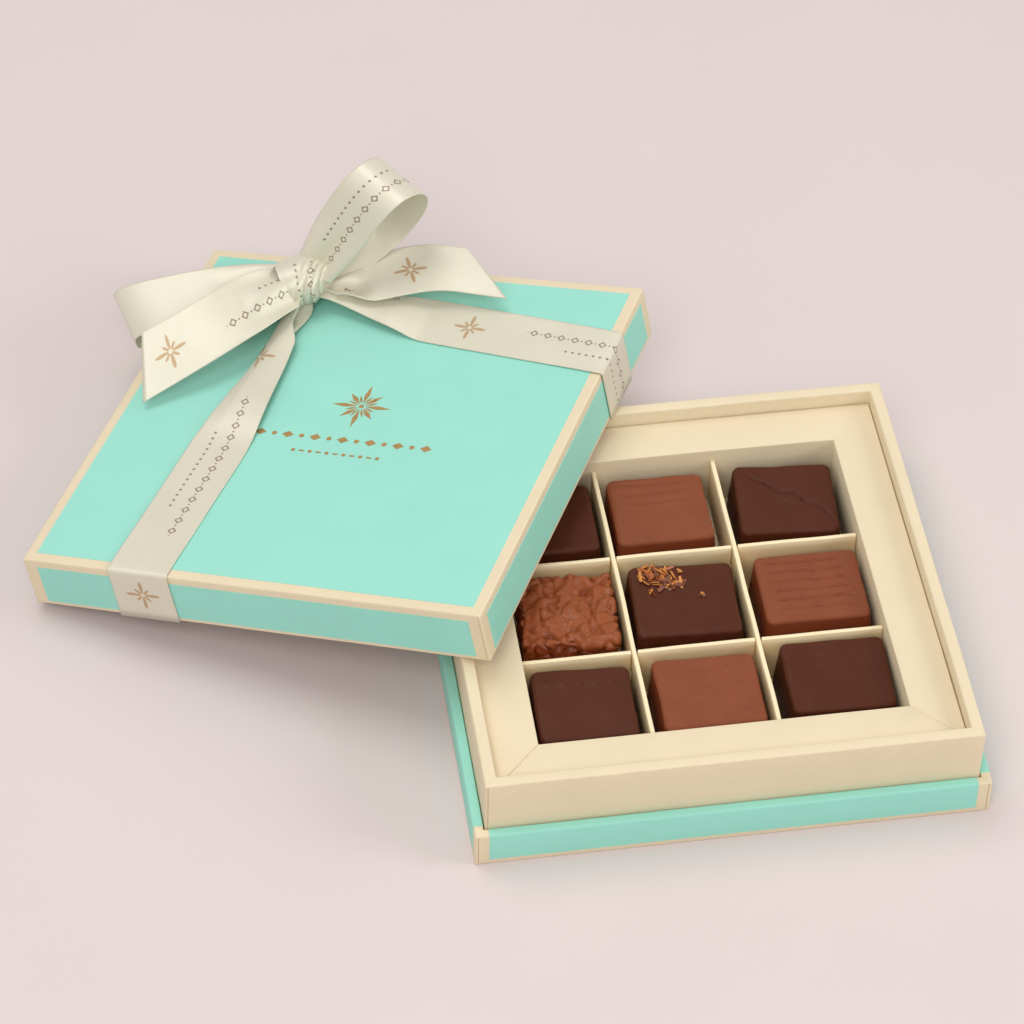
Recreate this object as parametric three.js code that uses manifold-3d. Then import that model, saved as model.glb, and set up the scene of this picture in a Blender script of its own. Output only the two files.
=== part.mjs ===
// A square box of nine chocolate pralines. Its ribboned lid has been lifted off and leans on the back left
// corner of the tray. Millimetres, +Z up, +Y away from the viewer. The origin is the middle of the tray's
// underside, and the table is the plane z = 0.
import * as THREE from "three";
import { mergeVertices } from "three/addons/utils/BufferGeometryUtils.js";
import Module from "manifold-3d";

const wasm = await Module();
wasm.setup();

// Air left between two pieces that touch on the real box.
const GAP = 0.3;
// How far a cutting block reaches past the faces that it opens.
const CUT_PAST = 1;

// Outer tray of wrapped board.
const TRAY_SIDE = 135;
const TRAY_HEIGHT = 11.1;
const TRAY_WALL = 2.5;
const TRAY_FLOOR = 2;
const BOARD_ROUND = 0.5; // radius of a wrapped board's corners and edges

// Neck glued inside the tray. The lid slides over it.
const NECK_SIDE = TRAY_SIDE - 2 * (TRAY_WALL + GAP);
const NECK_BOTTOM = TRAY_FLOOR + GAP;
const NECK_TOP = 27.4;
const NECK_WALL = 3.2;
const NECK_FLOOR = 1.2;
const WELL_FLOOR = NECK_BOTTOM + NECK_FLOOR;

// Raised mat that fills the neck round the square opening.
const MAT_SIDE = NECK_SIDE - 2 * (NECK_WALL + GAP);
const MAT_TOP = 22.9;
const MAT_CARD = 1.5;
const OPENING = 97.2;

// Slotted cards that part the opening into nine cells. They stand a little off centre, as loose cards do.
const CARD = 1.2;
const CARD_TOP = 19.5;
const CARD_BOTTOM = WELL_FLOOR + GAP;
const CARD_LENGTH = OPENING - 2 * GAP;
const LONG_CARD_X = [-18.3, 14.9];
const CROSS_CARD_Y = [-17.9, 15.8];

// Pralines: one height, soft edges, and sides that spread a little towards the foot.
const PRALINE_FOOT = WELL_FLOOR + GAP;
const PRALINE_HEIGHT = 14.6;
const PRALINE_ROUND = 1.8;
const PRALINE_SPREAD = 0.06; // how much wider the foot is than the top, as a share
const FOOT_TRIM = 1; // cut off under each foot so that it stands flat
const SIDE_STEPS = 3;
const SWELL = { waves: 5, pace: 0.5, height: 0.3 }; // slow unevenness of every praline
const COMB = { bow: 0.012, ripple: 0.3, ripplePace: 0.5 }; // how far combed ridges stray from straight
const NUTS = { overreach: 1.05, radius: 2.2, moreRadius: 2, height: 0.6, moreHeight: 0.9, sunk: 0.4 };
const VEIN_WIDTH = 0.9;
const FLAKE = { shortest: 1.2, longest: 3, width: 0.75, thick: 0.45, tilt: 30, sunk: 0.45 };

// Lid: it leans with its front and right edges on the neck and its far corner on the table.
const LID_SIDE = 133;
const LID_HEIGHT = 16.2;
const LID_WALL = 1.5;
const LID_TURN = -28.1; // degrees about the vertical, before it leans
const LID_LEAN = 11.95; // degrees
const LID_LEAN_AXIS = 237.5; // degrees, the heading of the level line that it leans about
const LID_MIDDLE = [-86.4, 65.7];
const TABLE_GAP = 0.05;

// Satin ribbon tied round the lid.
const RIBBON_WIDTH = 17.5;
const RIBBON_THICK = 0.4;
const RIBBON_LIFT = GAP + RIBBON_THICK / 2; // from the lid's face to the middle of the ribbon
const RIBBON_BEND = 1; // radius where it goes over the lid's edge
const ARM_X = -31.9; // where the front and back arms cross the lid's edge
const ARM_Y = 38; // where the left and right arms cross it
const ARM = { rootWidth: 6.5, gatherFrom: 0.45, riseFrom: 0.72, rise: 3.4, steps: 16 };
const LOOP = { steps: 32, start: 0.5, fullness: 1.45, openBy: 0.6 }; // start: radians hidden in the knot
const TAIL = { steps: 14, openBy: 0.4 };
const KNOT = new THREE.Vector3(-26.6, 47.4, 8.8);
const KNOT_RADII = new THREE.Vector3(9.6, 8, 6.6);
const BOW_HEADING = 29; // degrees, the way the bow lies across the lid

const CREAM = new THREE.MeshStandardMaterial({ color: 0xf2e2c2, roughness: 0.8, metalness: 0 });
const MINT = new THREE.MeshStandardMaterial({ color: 0xa9e6d2, roughness: 0.65, metalness: 0 });
const SATIN = new THREE.MeshStandardMaterial({ color: 0xe6e2cc, roughness: 0.4, metalness: 0 });
const DARK = new THREE.MeshStandardMaterial({ color: 0x56302a, roughness: 0.45, metalness: 0 });
const MILK = new THREE.MeshStandardMaterial({ color: 0x8d513d, roughness: 0.5, metalness: 0 });

const rad = THREE.MathUtils.degToRad;
const box = new THREE.Group();
const lidGroup = new THREE.Group();
box.add(lidGroup);

function addMesh(group, name, geometry, material) {
  const mesh = new THREE.Mesh(geometry, material);
  mesh.name = name;
  group.add(mesh);
  return mesh;
}

// A closed three.js geometry as a solid that can be joined and cut.
function toSolid(geometry) {
  const bare = geometry.clone();
  bare.deleteAttribute("normal");
  bare.deleteAttribute("uv");
  const merged = mergeVertices(bare, 1e-4);
  return new wasm.Manifold(
    new wasm.Mesh({
      numProp: 3,
      vertProperties: new Float32Array(merged.attributes.position.array),
      triVerts: new Uint32Array(merged.index.array),
    }),
  );
}

function toGeometry(solid) {
  const mesh = solid.getMesh();
  const geometry = new THREE.BufferGeometry();
  geometry.setAttribute("position", new THREE.BufferAttribute(mesh.vertProperties, 3));
  geometry.setIndex(new THREE.BufferAttribute(mesh.triVerts, 1));
  geometry.computeVertexNormals();
  return geometry;
}

// Random numbers from 0 to 1 that are the same on every run.
function seeded(seed) {
  let state = seed;
  return () => {
    state = (state * 1664525 + 1013904223) % 4294967296;
    return state / 4294967296;
  };
}

// The four-sided outline of a board with small round corners.
function squarePath(path, side, radius) {
  const straight = side / 2 - radius;
  path.moveTo(straight, -side / 2);
  path.absarc(straight, -straight, radius, -Math.PI / 2, 0, false);
  path.absarc(straight, straight, radius, 0, Math.PI / 2, false);
  path.absarc(-straight, straight, radius, Math.PI / 2, Math.PI, false);
  path.absarc(-straight, -straight, radius, Math.PI, 1.5 * Math.PI, false);
  return path;
}

// A square block of wrapped board from z = low to z = high.
function squareSolid(side, low, high) {
  const shape = squarePath(new THREE.Shape(), side - 2 * BOARD_ROUND, BOARD_ROUND);
  const geometry = new THREE.ExtrudeGeometry(shape, {
    depth: high - low - 2 * BOARD_ROUND,
    bevelSize: BOARD_ROUND,
    bevelThickness: BOARD_ROUND,
    bevelSegments: 1,
    curveSegments: 2,
  });
  return toSolid(geometry.translate(0, 0, low + BOARD_ROUND));
}

function addTray() {
  const hollow = squareSolid(TRAY_SIDE - 2 * TRAY_WALL, TRAY_FLOOR, TRAY_HEIGHT + CUT_PAST);
  addMesh(box, "base_tray", toGeometry(squareSolid(TRAY_SIDE, 0, TRAY_HEIGHT).subtract(hollow)), MINT);
}

function addNeck() {
  const hollow = squareSolid(NECK_SIDE - 2 * NECK_WALL, WELL_FLOOR, NECK_TOP + CUT_PAST);
  const block = squareSolid(NECK_SIDE, NECK_BOTTOM, NECK_TOP);
  addMesh(box, "neck_tray", toGeometry(block.subtract(hollow)), CREAM);
}

// The mat is a plate with an apron that goes down round the opening. Under the plate it is open.
function addMat() {
  const opening = squareSolid(OPENING, CARD_BOTTOM - CUT_PAST, MAT_TOP + CUT_PAST);
  const apron = squareSolid(OPENING + 2 * MAT_CARD, CARD_BOTTOM - 2 * CUT_PAST, MAT_TOP);
  const under = squareSolid(MAT_SIDE + 2 * CUT_PAST, CARD_BOTTOM - CUT_PAST, MAT_TOP - MAT_CARD);
  const plate = squareSolid(MAT_SIDE, CARD_BOTTOM, MAT_TOP).subtract(under.subtract(apron));
  addMesh(box, "mat_frame", toGeometry(plate.subtract(opening)), CREAM);
}

// A card on edge, drawn from its side, with a slot at each crossing from its top or its bottom to half height.
function slottedCard(crossings, slotFromTop) {
  const half = CARD_LENGTH / 2;
  const slot = CARD / 2 + GAP;
  const middle = (CARD_TOP + CARD_BOTTOM) / 2;
  const slotted = slotFromTop ? CARD_TOP : CARD_BOTTOM;
  const plain = slotFromTop ? CARD_BOTTOM : CARD_TOP;
  const slotEnd = slotFromTop ? middle - GAP / 2 : middle + GAP / 2;
  const shape = new THREE.Shape();
  shape.moveTo(-half, plain);
  shape.lineTo(-half, slotted);
  for (const at of crossings) {
    shape.lineTo(at - slot, slotted);
    shape.lineTo(at - slot, slotEnd);
    shape.lineTo(at + slot, slotEnd);
    shape.lineTo(at + slot, slotted);
  }
  shape.lineTo(half, slotted);
  shape.lineTo(half, plain);
  const card = new THREE.ExtrudeGeometry(shape, { depth: CARD, bevelEnabled: false });
  return card.translate(0, 0, -CARD / 2).rotateX(Math.PI / 2);
}

function addDividers() {
  LONG_CARD_X.forEach((x, i) => {
    const card = slottedCard(CROSS_CARD_Y, false);
    addMesh(box, "divider_long_" + (i + 1), card.rotateZ(Math.PI / 2), CREAM).position.x = x;
  });
  CROSS_CARD_Y.forEach((y, i) => {
    addMesh(box, "divider_cross_" + (i + 1), slottedCard(LONG_CARD_X, true), CREAM).position.y = y;
  });
}

// Slow swells over a praline, so that no two have quite the same sides.
function swell(seed) {
  const draw = seeded(seed);
  const waves = Array.from({ length: SWELL.waves }, () => ({
    way: new THREE.Vector3(draw() - 0.5, draw() - 0.5, draw() - 0.5).multiplyScalar(SWELL.pace),
    phase: draw() * 2 * Math.PI,
  }));
  return (p) => waves.reduce((sum, w) => sum + Math.sin(w.way.dot(p) + w.phase), 0) / waves.length;
}

// A soft block of chocolate with its foot at z = 0. relief(x, y) raises the top, and crag(p) pushes the
// whole skin outwards.
function pralineSolid({ size, seed, steps, sideSteps = SIDE_STEPS, relief = () => 0, crag = () => 0 }) {
  const height = PRALINE_HEIGHT + FOOT_TRIM;
  const block = new THREE.BoxGeometry(size[0], size[1], height, steps[0], steps[1], sideSteps);
  block.translate(0, 0, height / 2 - FOOT_TRIM);
  const core = new THREE.Box3(
    new THREE.Vector3(-size[0] / 2, -size[1] / 2, -FOOT_TRIM),
    new THREE.Vector3(size[0] / 2, size[1] / 2, PRALINE_HEIGHT),
  ).expandByScalar(-PRALINE_ROUND);
  const uneven = swell(seed);
  const skin = block.attributes.position;
  const p = new THREE.Vector3();
  const inner = new THREE.Vector3();
  for (let i = 0; i < skin.count; i++) {
    p.fromBufferAttribute(skin, i);
    core.clampPoint(p, inner);
    const out = p.clone().sub(inner).normalize();
    p.copy(inner).addScaledVector(out, PRALINE_ROUND);
    const spread = 1 + PRALINE_SPREAD * (1 - p.z / PRALINE_HEIGHT);
    const push = SWELL.height * uneven(p) + crag(p);
    const raised = Math.max(0, out.z) * relief(p.x, p.y);
    p.set(p.x * spread, p.y * spread, p.z + raised).addScaledVector(out, push);
    skin.setXYZ(i, p.x, p.y, p.z);
  }
  return toSolid(block).trimByPlane([0, 0, 1], 0);
}

// Wavy ridges that run from side to side, from y = low to y = high, a pitch apart.
function combRidges(low, high, pitch, height) {
  return (x, y) => {
    const rising = THREE.MathUtils.smoothstep(y, low, low + pitch);
    const falling = 1 - THREE.MathUtils.smoothstep(y, high - pitch, high);
    const bowed = y + COMB.bow * x * x + COMB.ripple * Math.sin(COMB.ripplePace * x);
    return height * rising * falling * Math.sin((2 * Math.PI * bowed) / pitch);
  };
}

// Small soft bumps at the given places.
function bumps(places, radius, height) {
  return (x, y) =>
    height * Math.max(...places.map(([bx, by]) => Math.exp(-((x - bx) ** 2 + (y - by) ** 2) / radius ** 2)));
}

// A knobbly skin: chopped nuts under the coating, spread at random over a block of the given size.
function nutCrag(size, count, seed) {
  const draw = seeded(seed);
  const knobs = Array.from({ length: count }, () => ({
    at: new THREE.Vector3(
      (draw() - 0.5) * NUTS.overreach * size[0],
      (draw() - 0.5) * NUTS.overreach * size[1],
      PRALINE_HEIGHT * Math.min(1, 0.2 + draw() * 1.6),
    ),
    radius: NUTS.radius + NUTS.moreRadius * draw(),
    height: NUTS.height + NUTS.moreHeight * draw(),
  }));
  return (p) => {
    const lifts = knobs.map((k) => k.height * (1 - p.distanceToSquared(k.at) / k.radius ** 2));
    return Math.max(0, ...lifts) - NUTS.sunk;
  };
}

// A thin raised line on a praline's top, along a curve through the given points.
function veinSolid(points) {
  const curve = new THREE.CatmullRomCurve3(
    points.map(([x, y]) => new THREE.Vector3(x, y, PRALINE_HEIGHT)),
  );
  const section = new THREE.Shape().absarc(0, 0, VEIN_WIDTH / 2, 0, 2 * Math.PI);
  return toSolid(new THREE.ExtrudeGeometry(section, { steps: 16, extrudePath: curve, curveSegments: 3 }));
}

// Toasted shreds scattered round a place on a praline's top. Each leans, with its lower end in the chocolate.
function flakeSolids({ middle, spreadBy, count, seed, within }) {
  const draw = seeded(seed);
  return Array.from({ length: count }, () => {
    const length = FLAKE.shortest + (FLAKE.longest - FLAKE.shortest) * draw();
    const tilt = rad(FLAKE.tilt * draw());
    const flake = new THREE.BoxGeometry(length, FLAKE.width * (0.8 + 0.4 * draw()), FLAKE.thick);
    flake.rotateY(tilt).rotateZ(2 * Math.PI * draw());
    const away = spreadBy * Math.sqrt(draw());
    const heading = draw() * 2 * Math.PI;
    const x = THREE.MathUtils.clamp(middle[0] + 1.2 * away * Math.cos(heading), -within, within);
    const y = THREE.MathUtils.clamp(middle[1] + 0.8 * away * Math.sin(heading), -within, within);
    const lift = PRALINE_HEIGHT - FLAKE.sunk + (length * Math.sin(tilt) + FLAKE.thick) / 2;
    return toSolid(flake.translate(x, y, lift));
  });
}

function addPralines() {
  const marks = [-9, -4.8, -0.6, 3.6, 7.8].map((x) => [x, 8]);
  const specks = [[-6, 5], [1, 6.5], [4, -2], [-3, -4], [8, 2]];
  const rows = [
    { name: "back_left", at: [-33.6, 32], turn: 0, size: [26, 26], steps: [7, 7], material: DARK },
    {
      name: "back_mid", at: [-2.4, 32.3], turn: -0.8, size: [26.2, 26], steps: [7, 26], material: MILK,
      relief: combRidges(0.5, 12, 2.9, 0.28),
    },
    {
      name: "back_right", at: [32.2, 31.8], turn: -4.2, size: [26.8, 27], steps: [8, 8], material: DARK,
      vein: [[-9.5, 10.5], [-4, 5.5], [2, 2.4], [8, -2.2], [10.5, -5.5]],
    },
    {
      name: "mid_left", at: [-33.5, -0.8], turn: -4, size: [25, 26.2], steps: [17, 17], sideSteps: 7,
      material: MILK, crag: nutCrag([25, 26.2], 60, 11),
    },
    {
      name: "centre", at: [-1.6, -1.1], turn: -2.6, size: [28, 26.8], steps: [8, 8], material: DARK,
      flakes: [
        { middle: [-6, 8.6], spreadBy: 4.8, count: 18, seed: 5, within: 10.6 },
        { middle: [-2.5, 5.6], spreadBy: 3.4, count: 5, seed: 8, within: 10.6 },
        { middle: [4, 6], spreadBy: 5, count: 3, seed: 21, within: 10.6 },
      ],
    },
    {
      name: "mid_right", at: [33, -1], turn: -0.8, size: [28, 26], steps: [7, 32], material: MILK,
      relief: combRidges(-9, 12, 2.7, 0.3),
    },
    {
      name: "front_left", at: [-34, -33.6], turn: -2, size: [26, 26], steps: [18, 10], material: DARK,
      relief: bumps(marks, 1.1, 0.35),
    },
    {
      name: "front_mid", at: [-0.8, -33.8], turn: -0.4, size: [27, 26], steps: [11, 11], material: MILK,
      relief: bumps(specks, 1.6, 0.3),
    },
    {
      name: "front_right", at: [33.7, -32.6], turn: -1.6, size: [27.6, 26], steps: [6, 20], material: DARK,
      relief: combRidges(-11, 11, 4.4, 0.12),
    },
  ];
  rows.forEach((row, i) => {
    let solid = pralineSolid({ ...row, seed: 100 + i });
    if (row.vein) solid = solid.add(veinSolid(row.vein));
    for (const patch of row.flakes ?? []) {
      solid = flakeSolids(patch).reduce((joined, flake) => joined.add(flake), solid);
    }
    const mesh = addMesh(box, "praline_" + row.name, toGeometry(solid), row.material);
    mesh.position.set(row.at[0], row.at[1], PRALINE_FOOT);
    mesh.rotation.z = rad(row.turn);
  });
}

// The lid's own frame: origin in the middle of its top face, z outwards. Its solid reaches down to -LID_HEIGHT.
function addLid() {
  const hollow = squareSolid(LID_SIDE - 2 * LID_WALL, -LID_HEIGHT - CUT_PAST, -LID_WALL);
  addMesh(lidGroup, "lid", toGeometry(squareSolid(LID_SIDE, -LID_HEIGHT, 0).subtract(hollow)), MINT);
}

// A ribbon through the given stations. Each has a middle point, the way across the ribbon and its width there.
function ribbonSolid(stations) {
  const last = stations.length - 1;
  const strip = new THREE.BoxGeometry(last, 1, RIBBON_THICK, last, 2, 1);
  const skin = strip.attributes.position;
  const along = stations.map((s, i) => {
    const next = stations[Math.min(i + 1, last)].at;
    return next.clone().sub(stations[Math.max(i - 1, 0)].at).normalize();
  });
  for (let i = 0; i < skin.count; i++) {
    const n = Math.round(skin.getX(i) + last / 2);
    const { at, across, width } = stations[n];
    const up = along[n].clone().cross(across).normalize();
    const p = at.clone().addScaledVector(across, skin.getY(i) * width).addScaledVector(up, skin.getZ(i));
    skin.setXYZ(i, p.x, p.y, p.z);
  }
  return toSolid(strip);
}

// One arm of the ribbon: up the lid's side, over its edge and along its top, where it narrows to the knot.
function armStations(outward, side, offset) {
  const place = (far, height) =>
    outward.clone().multiplyScalar(far).addScaledVector(side, offset).setZ(height);
  const wide = { across: side, width: RIBBON_WIDTH };
  const face = LID_SIDE / 2 + RIBBON_LIFT;
  const stations = [{ at: place(face, -LID_HEIGHT + TABLE_GAP), ...wide }];
  for (const turn of [0, 30, 60, 90]) {
    const inset = RIBBON_BEND * (1 - Math.cos(rad(turn)));
    const drop = RIBBON_BEND * (1 - Math.sin(rad(turn)));
    stations.push({ at: place(face - inset, RIBBON_LIFT - drop), ...wide });
  }
  const edge = place(face - RIBBON_BEND, RIBBON_LIFT);
  const root = KNOT.clone().addScaledVector(outward, ARM.rootWidth / 2 + 1).setZ(RIBBON_LIFT);
  for (let i = 1; i <= ARM.steps; i++) {
    const t = i / ARM.steps;
    const gathered = THREE.MathUtils.smoothstep(t, ARM.gatherFrom, 1);
    const at = edge.clone().lerp(root, t);
    at.z += ARM.rise * THREE.MathUtils.smoothstep(t, ARM.riseFrom, 1);
    stations.push({ at, across: side, width: THREE.MathUtils.lerp(RIBBON_WIDTH, ARM.rootWidth, gathered) });
  }
  return stations;
}

// A bow loop from the knot and back to it: a teardrop that is reach long and opening wide. bend moves its
// middle over to the returning side. across gives the way over the ribbon where it leaves, at the far end
// and where it returns.
function loopStations({ along, returning, reach, opening, bend, across, rootWidth }) {
  const stations = [];
  for (let i = 0; i <= LOOP.steps; i++) {
    const s = i / LOOP.steps;
    const t = LOOP.start + 2 * (Math.PI - LOOP.start) * s;
    const far = (reach * (1 - Math.cos(t))) / 2;
    const off = -(opening / 2) * LOOP.fullness * Math.sin(t) * Math.sin(t / 2) ** 1.5;
    const shift = bend * Math.sin((Math.PI * far) / reach);
    const at = KNOT.clone().addScaledVector(along, far).addScaledVector(returning, off + shift);
    const way = across[1].clone();
    way.lerp(s < 0.5 ? across[0] : across[2], Math.abs(1 - 2 * s));
    const opened = THREE.MathUtils.smoothstep(Math.sin(Math.PI * s), 0, LOOP.openBy);
    const width = THREE.MathUtils.lerp(rootWidth, RIBBON_WIDTH, opened);
    stations.push({ at, across: way.normalize(), width });
  }
  return stations;
}

// A tail along a curve from the knot. Its end is cut on the slant, longer on the near side.
function tailStations({ through, across, slant, rootWidth }) {
  const curve = new THREE.CatmullRomCurve3(through);
  const stations = [];
  for (let i = 0; i <= TAIL.steps; i++) {
    const t = i / TAIL.steps;
    const way = across[0].clone().lerp(across[1], t).normalize();
    const opened = THREE.MathUtils.smoothstep(t, 0, TAIL.openBy);
    const width = THREE.MathUtils.lerp(rootWidth, RIBBON_WIDTH, opened);
    stations.push({ at: curve.getPointAt(t), across: way, width });
  }
  const end = stations[TAIL.steps];
  end.across = end.across.clone().addScaledVector(curve.getTangentAt(1), slant);
  return stations;
}

const vec = (x, y, z) => new THREE.Vector3(x, y, z);

function knotSolid(grow) {
  const ball = new THREE.SphereGeometry(1, 20, 12);
  const skin = ball.attributes.position;
  const p = new THREE.Vector3();
  for (let i = 0; i < skin.count; i++) {
    p.fromBufferAttribute(skin, i);
    const waist = 1 - 0.16 * Math.cos(2 * Math.atan2(p.z, p.y)) * (1 - Math.abs(p.x));
    p.multiply(KNOT_RADII.clone().addScalar(grow)).multiplyScalar(waist);
    skin.setXYZ(i, p.x, p.y, p.z);
  }
  ball.rotateZ(rad(BOW_HEADING)).translate(KNOT.x, KNOT.y, KNOT.z);
  return toSolid(ball);
}

function addRibbon() {
  const room = knotSolid(GAP);
  const pieces = {
    ribbon_arm_front: armStations(vec(0, -1, 0), vec(1, 0, 0), ARM_X),
    ribbon_arm_back: armStations(vec(0, 1, 0), vec(1, 0, 0), ARM_X),
    ribbon_arm_left: armStations(vec(-1, 0, 0), vec(0, 1, 0), ARM_Y),
    ribbon_arm_right: armStations(vec(1, 0, 0), vec(0, 1, 0), ARM_Y),
    bow_loop_left: loopStations({
      along: vec(-0.9, -0.47, -0.01).normalize(),
      returning: vec(-0.15, 0.3, -0.94).normalize(),
      reach: 53,
      opening: 9,
      bend: 0,
      across: [vec(0.5, -0.8, -0.25), vec(0.62, -0.7, -0.3), vec(0.45, -0.88, -0.1)],
      rootWidth: 12,
    }),
    bow_loop_right: loopStations({
      along: vec(0.63, 0.41, 0.6).normalize(),
      returning: vec(0.07, 0.75, -0.62).normalize(),
      reach: 41,
      opening: 20,
      bend: 2.4,
      across: [vec(0.9, -0.35, -0.15), vec(0.85, -0.37, -0.36), vec(0.75, -0.45, -0.4)],
      rootWidth: 14.5,
    }),
    bow_tail_left: tailStations({
      through: [vec(-29.5, 41, 11.5), vec(-35.5, 30, 13.5), vec(-44.5, 17, 13), vec(-59.5, 3.5, 8.8)],
      across: [vec(0.6, -0.65, -0.45), vec(0.5, -0.58, -0.62)],
      slant: 0.4,
      rootWidth: 15,
    }),
    bow_tail_right: tailStations({
      through: [vec(-19, 46.5, 5.5), vec(-9, 50, 6.5), vec(7, 55.5, 7.5), vec(24, 57, 7)],
      across: [vec(0.5, -0.8, 0), vec(0.5, -0.78, -0.18)],
      slant: 0.4,
      rootWidth: 12,
    }),
  };
  for (const [name, stations] of Object.entries(pieces)) {
    addMesh(lidGroup, name, toGeometry(ribbonSolid(stations).subtract(room)), SATIN);
  }
  addMesh(lidGroup, "bow_knot", toGeometry(knotSolid(0)), SATIN);
}

// Turns the lid, leans it, and sets it down so that its lowest corner stands on the table.
function leanLid() {
  const axis = vec(Math.cos(rad(LID_LEAN_AXIS)), Math.sin(rad(LID_LEAN_AXIS)), 0);
  const turned = new THREE.Quaternion().setFromAxisAngle(vec(0, 0, 1), rad(LID_TURN));
  lidGroup.quaternion.setFromAxisAngle(axis, rad(LID_LEAN)).multiply(turned);
  const half = LID_SIDE / 2;
  const corners = [vec(-half, -half, -LID_HEIGHT), vec(-half, half, -LID_HEIGHT)];
  const lowest = Math.min(...corners.map((c) => c.applyQuaternion(lidGroup.quaternion).z));
  lidGroup.position.set(LID_MIDDLE[0], LID_MIDDLE[1], TABLE_GAP - lowest);
}

addTray();
addNeck();
addMat();
addDividers();
addPralines();
addLid();
addRibbon();
leanLid();

export default box;
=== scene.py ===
# %% [markdown]
# # A gift box of nine chocolate pralines
#
# The box is open. Its ribboned lid has been lifted off and leans on the back left corner of the tray.
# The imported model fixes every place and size, and this lesson makes the surfaces around it: wrapped board,
# slotted cards, dipped chocolate and satin ribbon. Each step first says what the real piece is, then how
# it could be made, and why one way was chosen.

# %% Load the frame
import math
from functools import partialmethod

import bmesh
import bpy
from mathutils import Matrix, Vector, noise


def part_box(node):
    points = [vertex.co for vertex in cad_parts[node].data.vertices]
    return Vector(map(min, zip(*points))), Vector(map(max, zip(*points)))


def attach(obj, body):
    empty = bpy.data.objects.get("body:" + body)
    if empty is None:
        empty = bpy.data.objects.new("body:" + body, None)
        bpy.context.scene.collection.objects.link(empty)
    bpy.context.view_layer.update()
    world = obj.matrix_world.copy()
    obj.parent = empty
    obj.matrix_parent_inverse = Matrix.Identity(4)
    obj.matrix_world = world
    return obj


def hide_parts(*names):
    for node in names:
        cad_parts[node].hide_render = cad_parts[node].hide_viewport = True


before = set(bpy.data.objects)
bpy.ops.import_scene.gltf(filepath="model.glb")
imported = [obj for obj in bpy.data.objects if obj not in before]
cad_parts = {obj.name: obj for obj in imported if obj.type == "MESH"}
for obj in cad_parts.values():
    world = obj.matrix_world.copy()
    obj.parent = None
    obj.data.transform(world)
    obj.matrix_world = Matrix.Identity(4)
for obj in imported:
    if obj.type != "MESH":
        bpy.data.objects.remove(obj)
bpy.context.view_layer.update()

MM = 0.001

# %% [markdown]
# ## Camera
#
# The picture is taken with a long lens from in front and above, a little left of the tray. The camera is
# placed by its position and three angles instead of by aiming it at a point, because a real camera that is
# held by hand is also rolled a little.

# %% Camera
CAMERA_PLACE = Vector((-0.1627, -0.6776, 0.7857))
CAMERA_YAW = math.radians(9.54)
CAMERA_PITCH = math.radians(46.63)
CAMERA_ROLL = math.radians(1.42)
CAMERA_LENS = 136.5

flat_ahead = Vector((math.sin(CAMERA_YAW), math.cos(CAMERA_YAW), 0))
ahead = flat_ahead * math.cos(CAMERA_PITCH) - Vector((0, 0, math.sin(CAMERA_PITCH)))
level_right = Vector((math.cos(CAMERA_YAW), -math.sin(CAMERA_YAW), 0))
level_up = level_right.cross(ahead)
right = level_right * math.cos(CAMERA_ROLL) + level_up * math.sin(CAMERA_ROLL)
up = level_up * math.cos(CAMERA_ROLL) - level_right * math.sin(CAMERA_ROLL)

camera_data = bpy.data.cameras.new("camera")
camera_data.sensor_width = 36
camera_data.lens = CAMERA_LENS
camera = bpy.data.objects.new("camera", camera_data)
camera.matrix_world = Matrix.Translation(CAMERA_PLACE) @ Matrix((right, up, -ahead)).transposed().to_4x4()
bpy.context.scene.collection.objects.link(camera)
bpy.context.scene.camera = camera
print("camera", [round(x, 3) for x in CAMERA_PLACE], "lens", CAMERA_LENS, "mm")

# %% [markdown]
# ## Floor and light
#
# The box stands on a plain pale floor under a soft studio light. One wide lamp above and behind gives the
# tops their light and drops soft shadows towards the viewer. A second one, high in front, fills the fronts
# and the ledges, a third lights the right sides, and a pale world lights the rest. A sun would draw hard
# shadows, so only wide lamps are used.

# %% Floor and light
FLOOR_COLOUR = (0.70, 0.615, 0.61)
WORLD_COLOUR = (1.0, 0.97, 0.95)
WORLD_STRENGTH = 0.555


def area_light(name, place, size, power, colour):
    """A round lamp that is aimed at the middle of the tray."""
    data = bpy.data.lights.new(name, "AREA")
    data.shape = "DISK"
    data.size = size
    data.energy = power
    data.color = colour
    lamp = bpy.data.objects.new(name, data)
    lamp.location = place
    lamp.rotation_euler = (-Vector(place)).to_track_quat("-Z", "Y").to_euler()
    bpy.context.scene.collection.objects.link(lamp)


area_light("key", (-0.35, 0.45, 1.35), 0.8, 5.8, (1.0, 0.985, 0.96))
area_light("fill", (-0.4, -0.88, 1.15), 0.8, 7.1, (1.0, 0.98, 0.97))
area_light("right", (1.1, -0.35, 0.7), 0.6, 5.0, (1.0, 0.985, 0.97))

world = bpy.data.worlds.new("studio")
world.use_nodes = True
world.node_tree.nodes["Background"].inputs["Color"].default_value = (*WORLD_COLOUR, 1)
world.node_tree.nodes["Background"].inputs["Strength"].default_value = WORLD_STRENGTH
bpy.context.scene.world = world
bpy.context.scene.view_settings.view_transform = "Standard"
print("three wide lamps and a pale world")

# %% [markdown]
# ## Nodes and numbers
#
# A finish is a small net of nodes. Wiring each one by hand hides what it works out, so two helpers do it:
# one adds a node with its inputs, and a value class lets the numbers inside a material be added, multiplied
# and compared with the usual signs, each sign adding one node of arithmetic.

# %% Nodes and numbers
def new_material(name, colour, roughness, **sockets):
    """A material whose main shader has the given plain values. Underscores in a name stand for spaces."""
    material = bpy.data.materials.new(name)
    material.use_nodes = True
    shader = material.node_tree.nodes["Principled BSDF"]
    shader.inputs["Base Color"].default_value = (*colour, 1)
    shader.inputs["Roughness"].default_value = roughness
    for key, value in sockets.items():
        shader.inputs[key.replace("_", " ")].default_value = value
    return material


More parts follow.
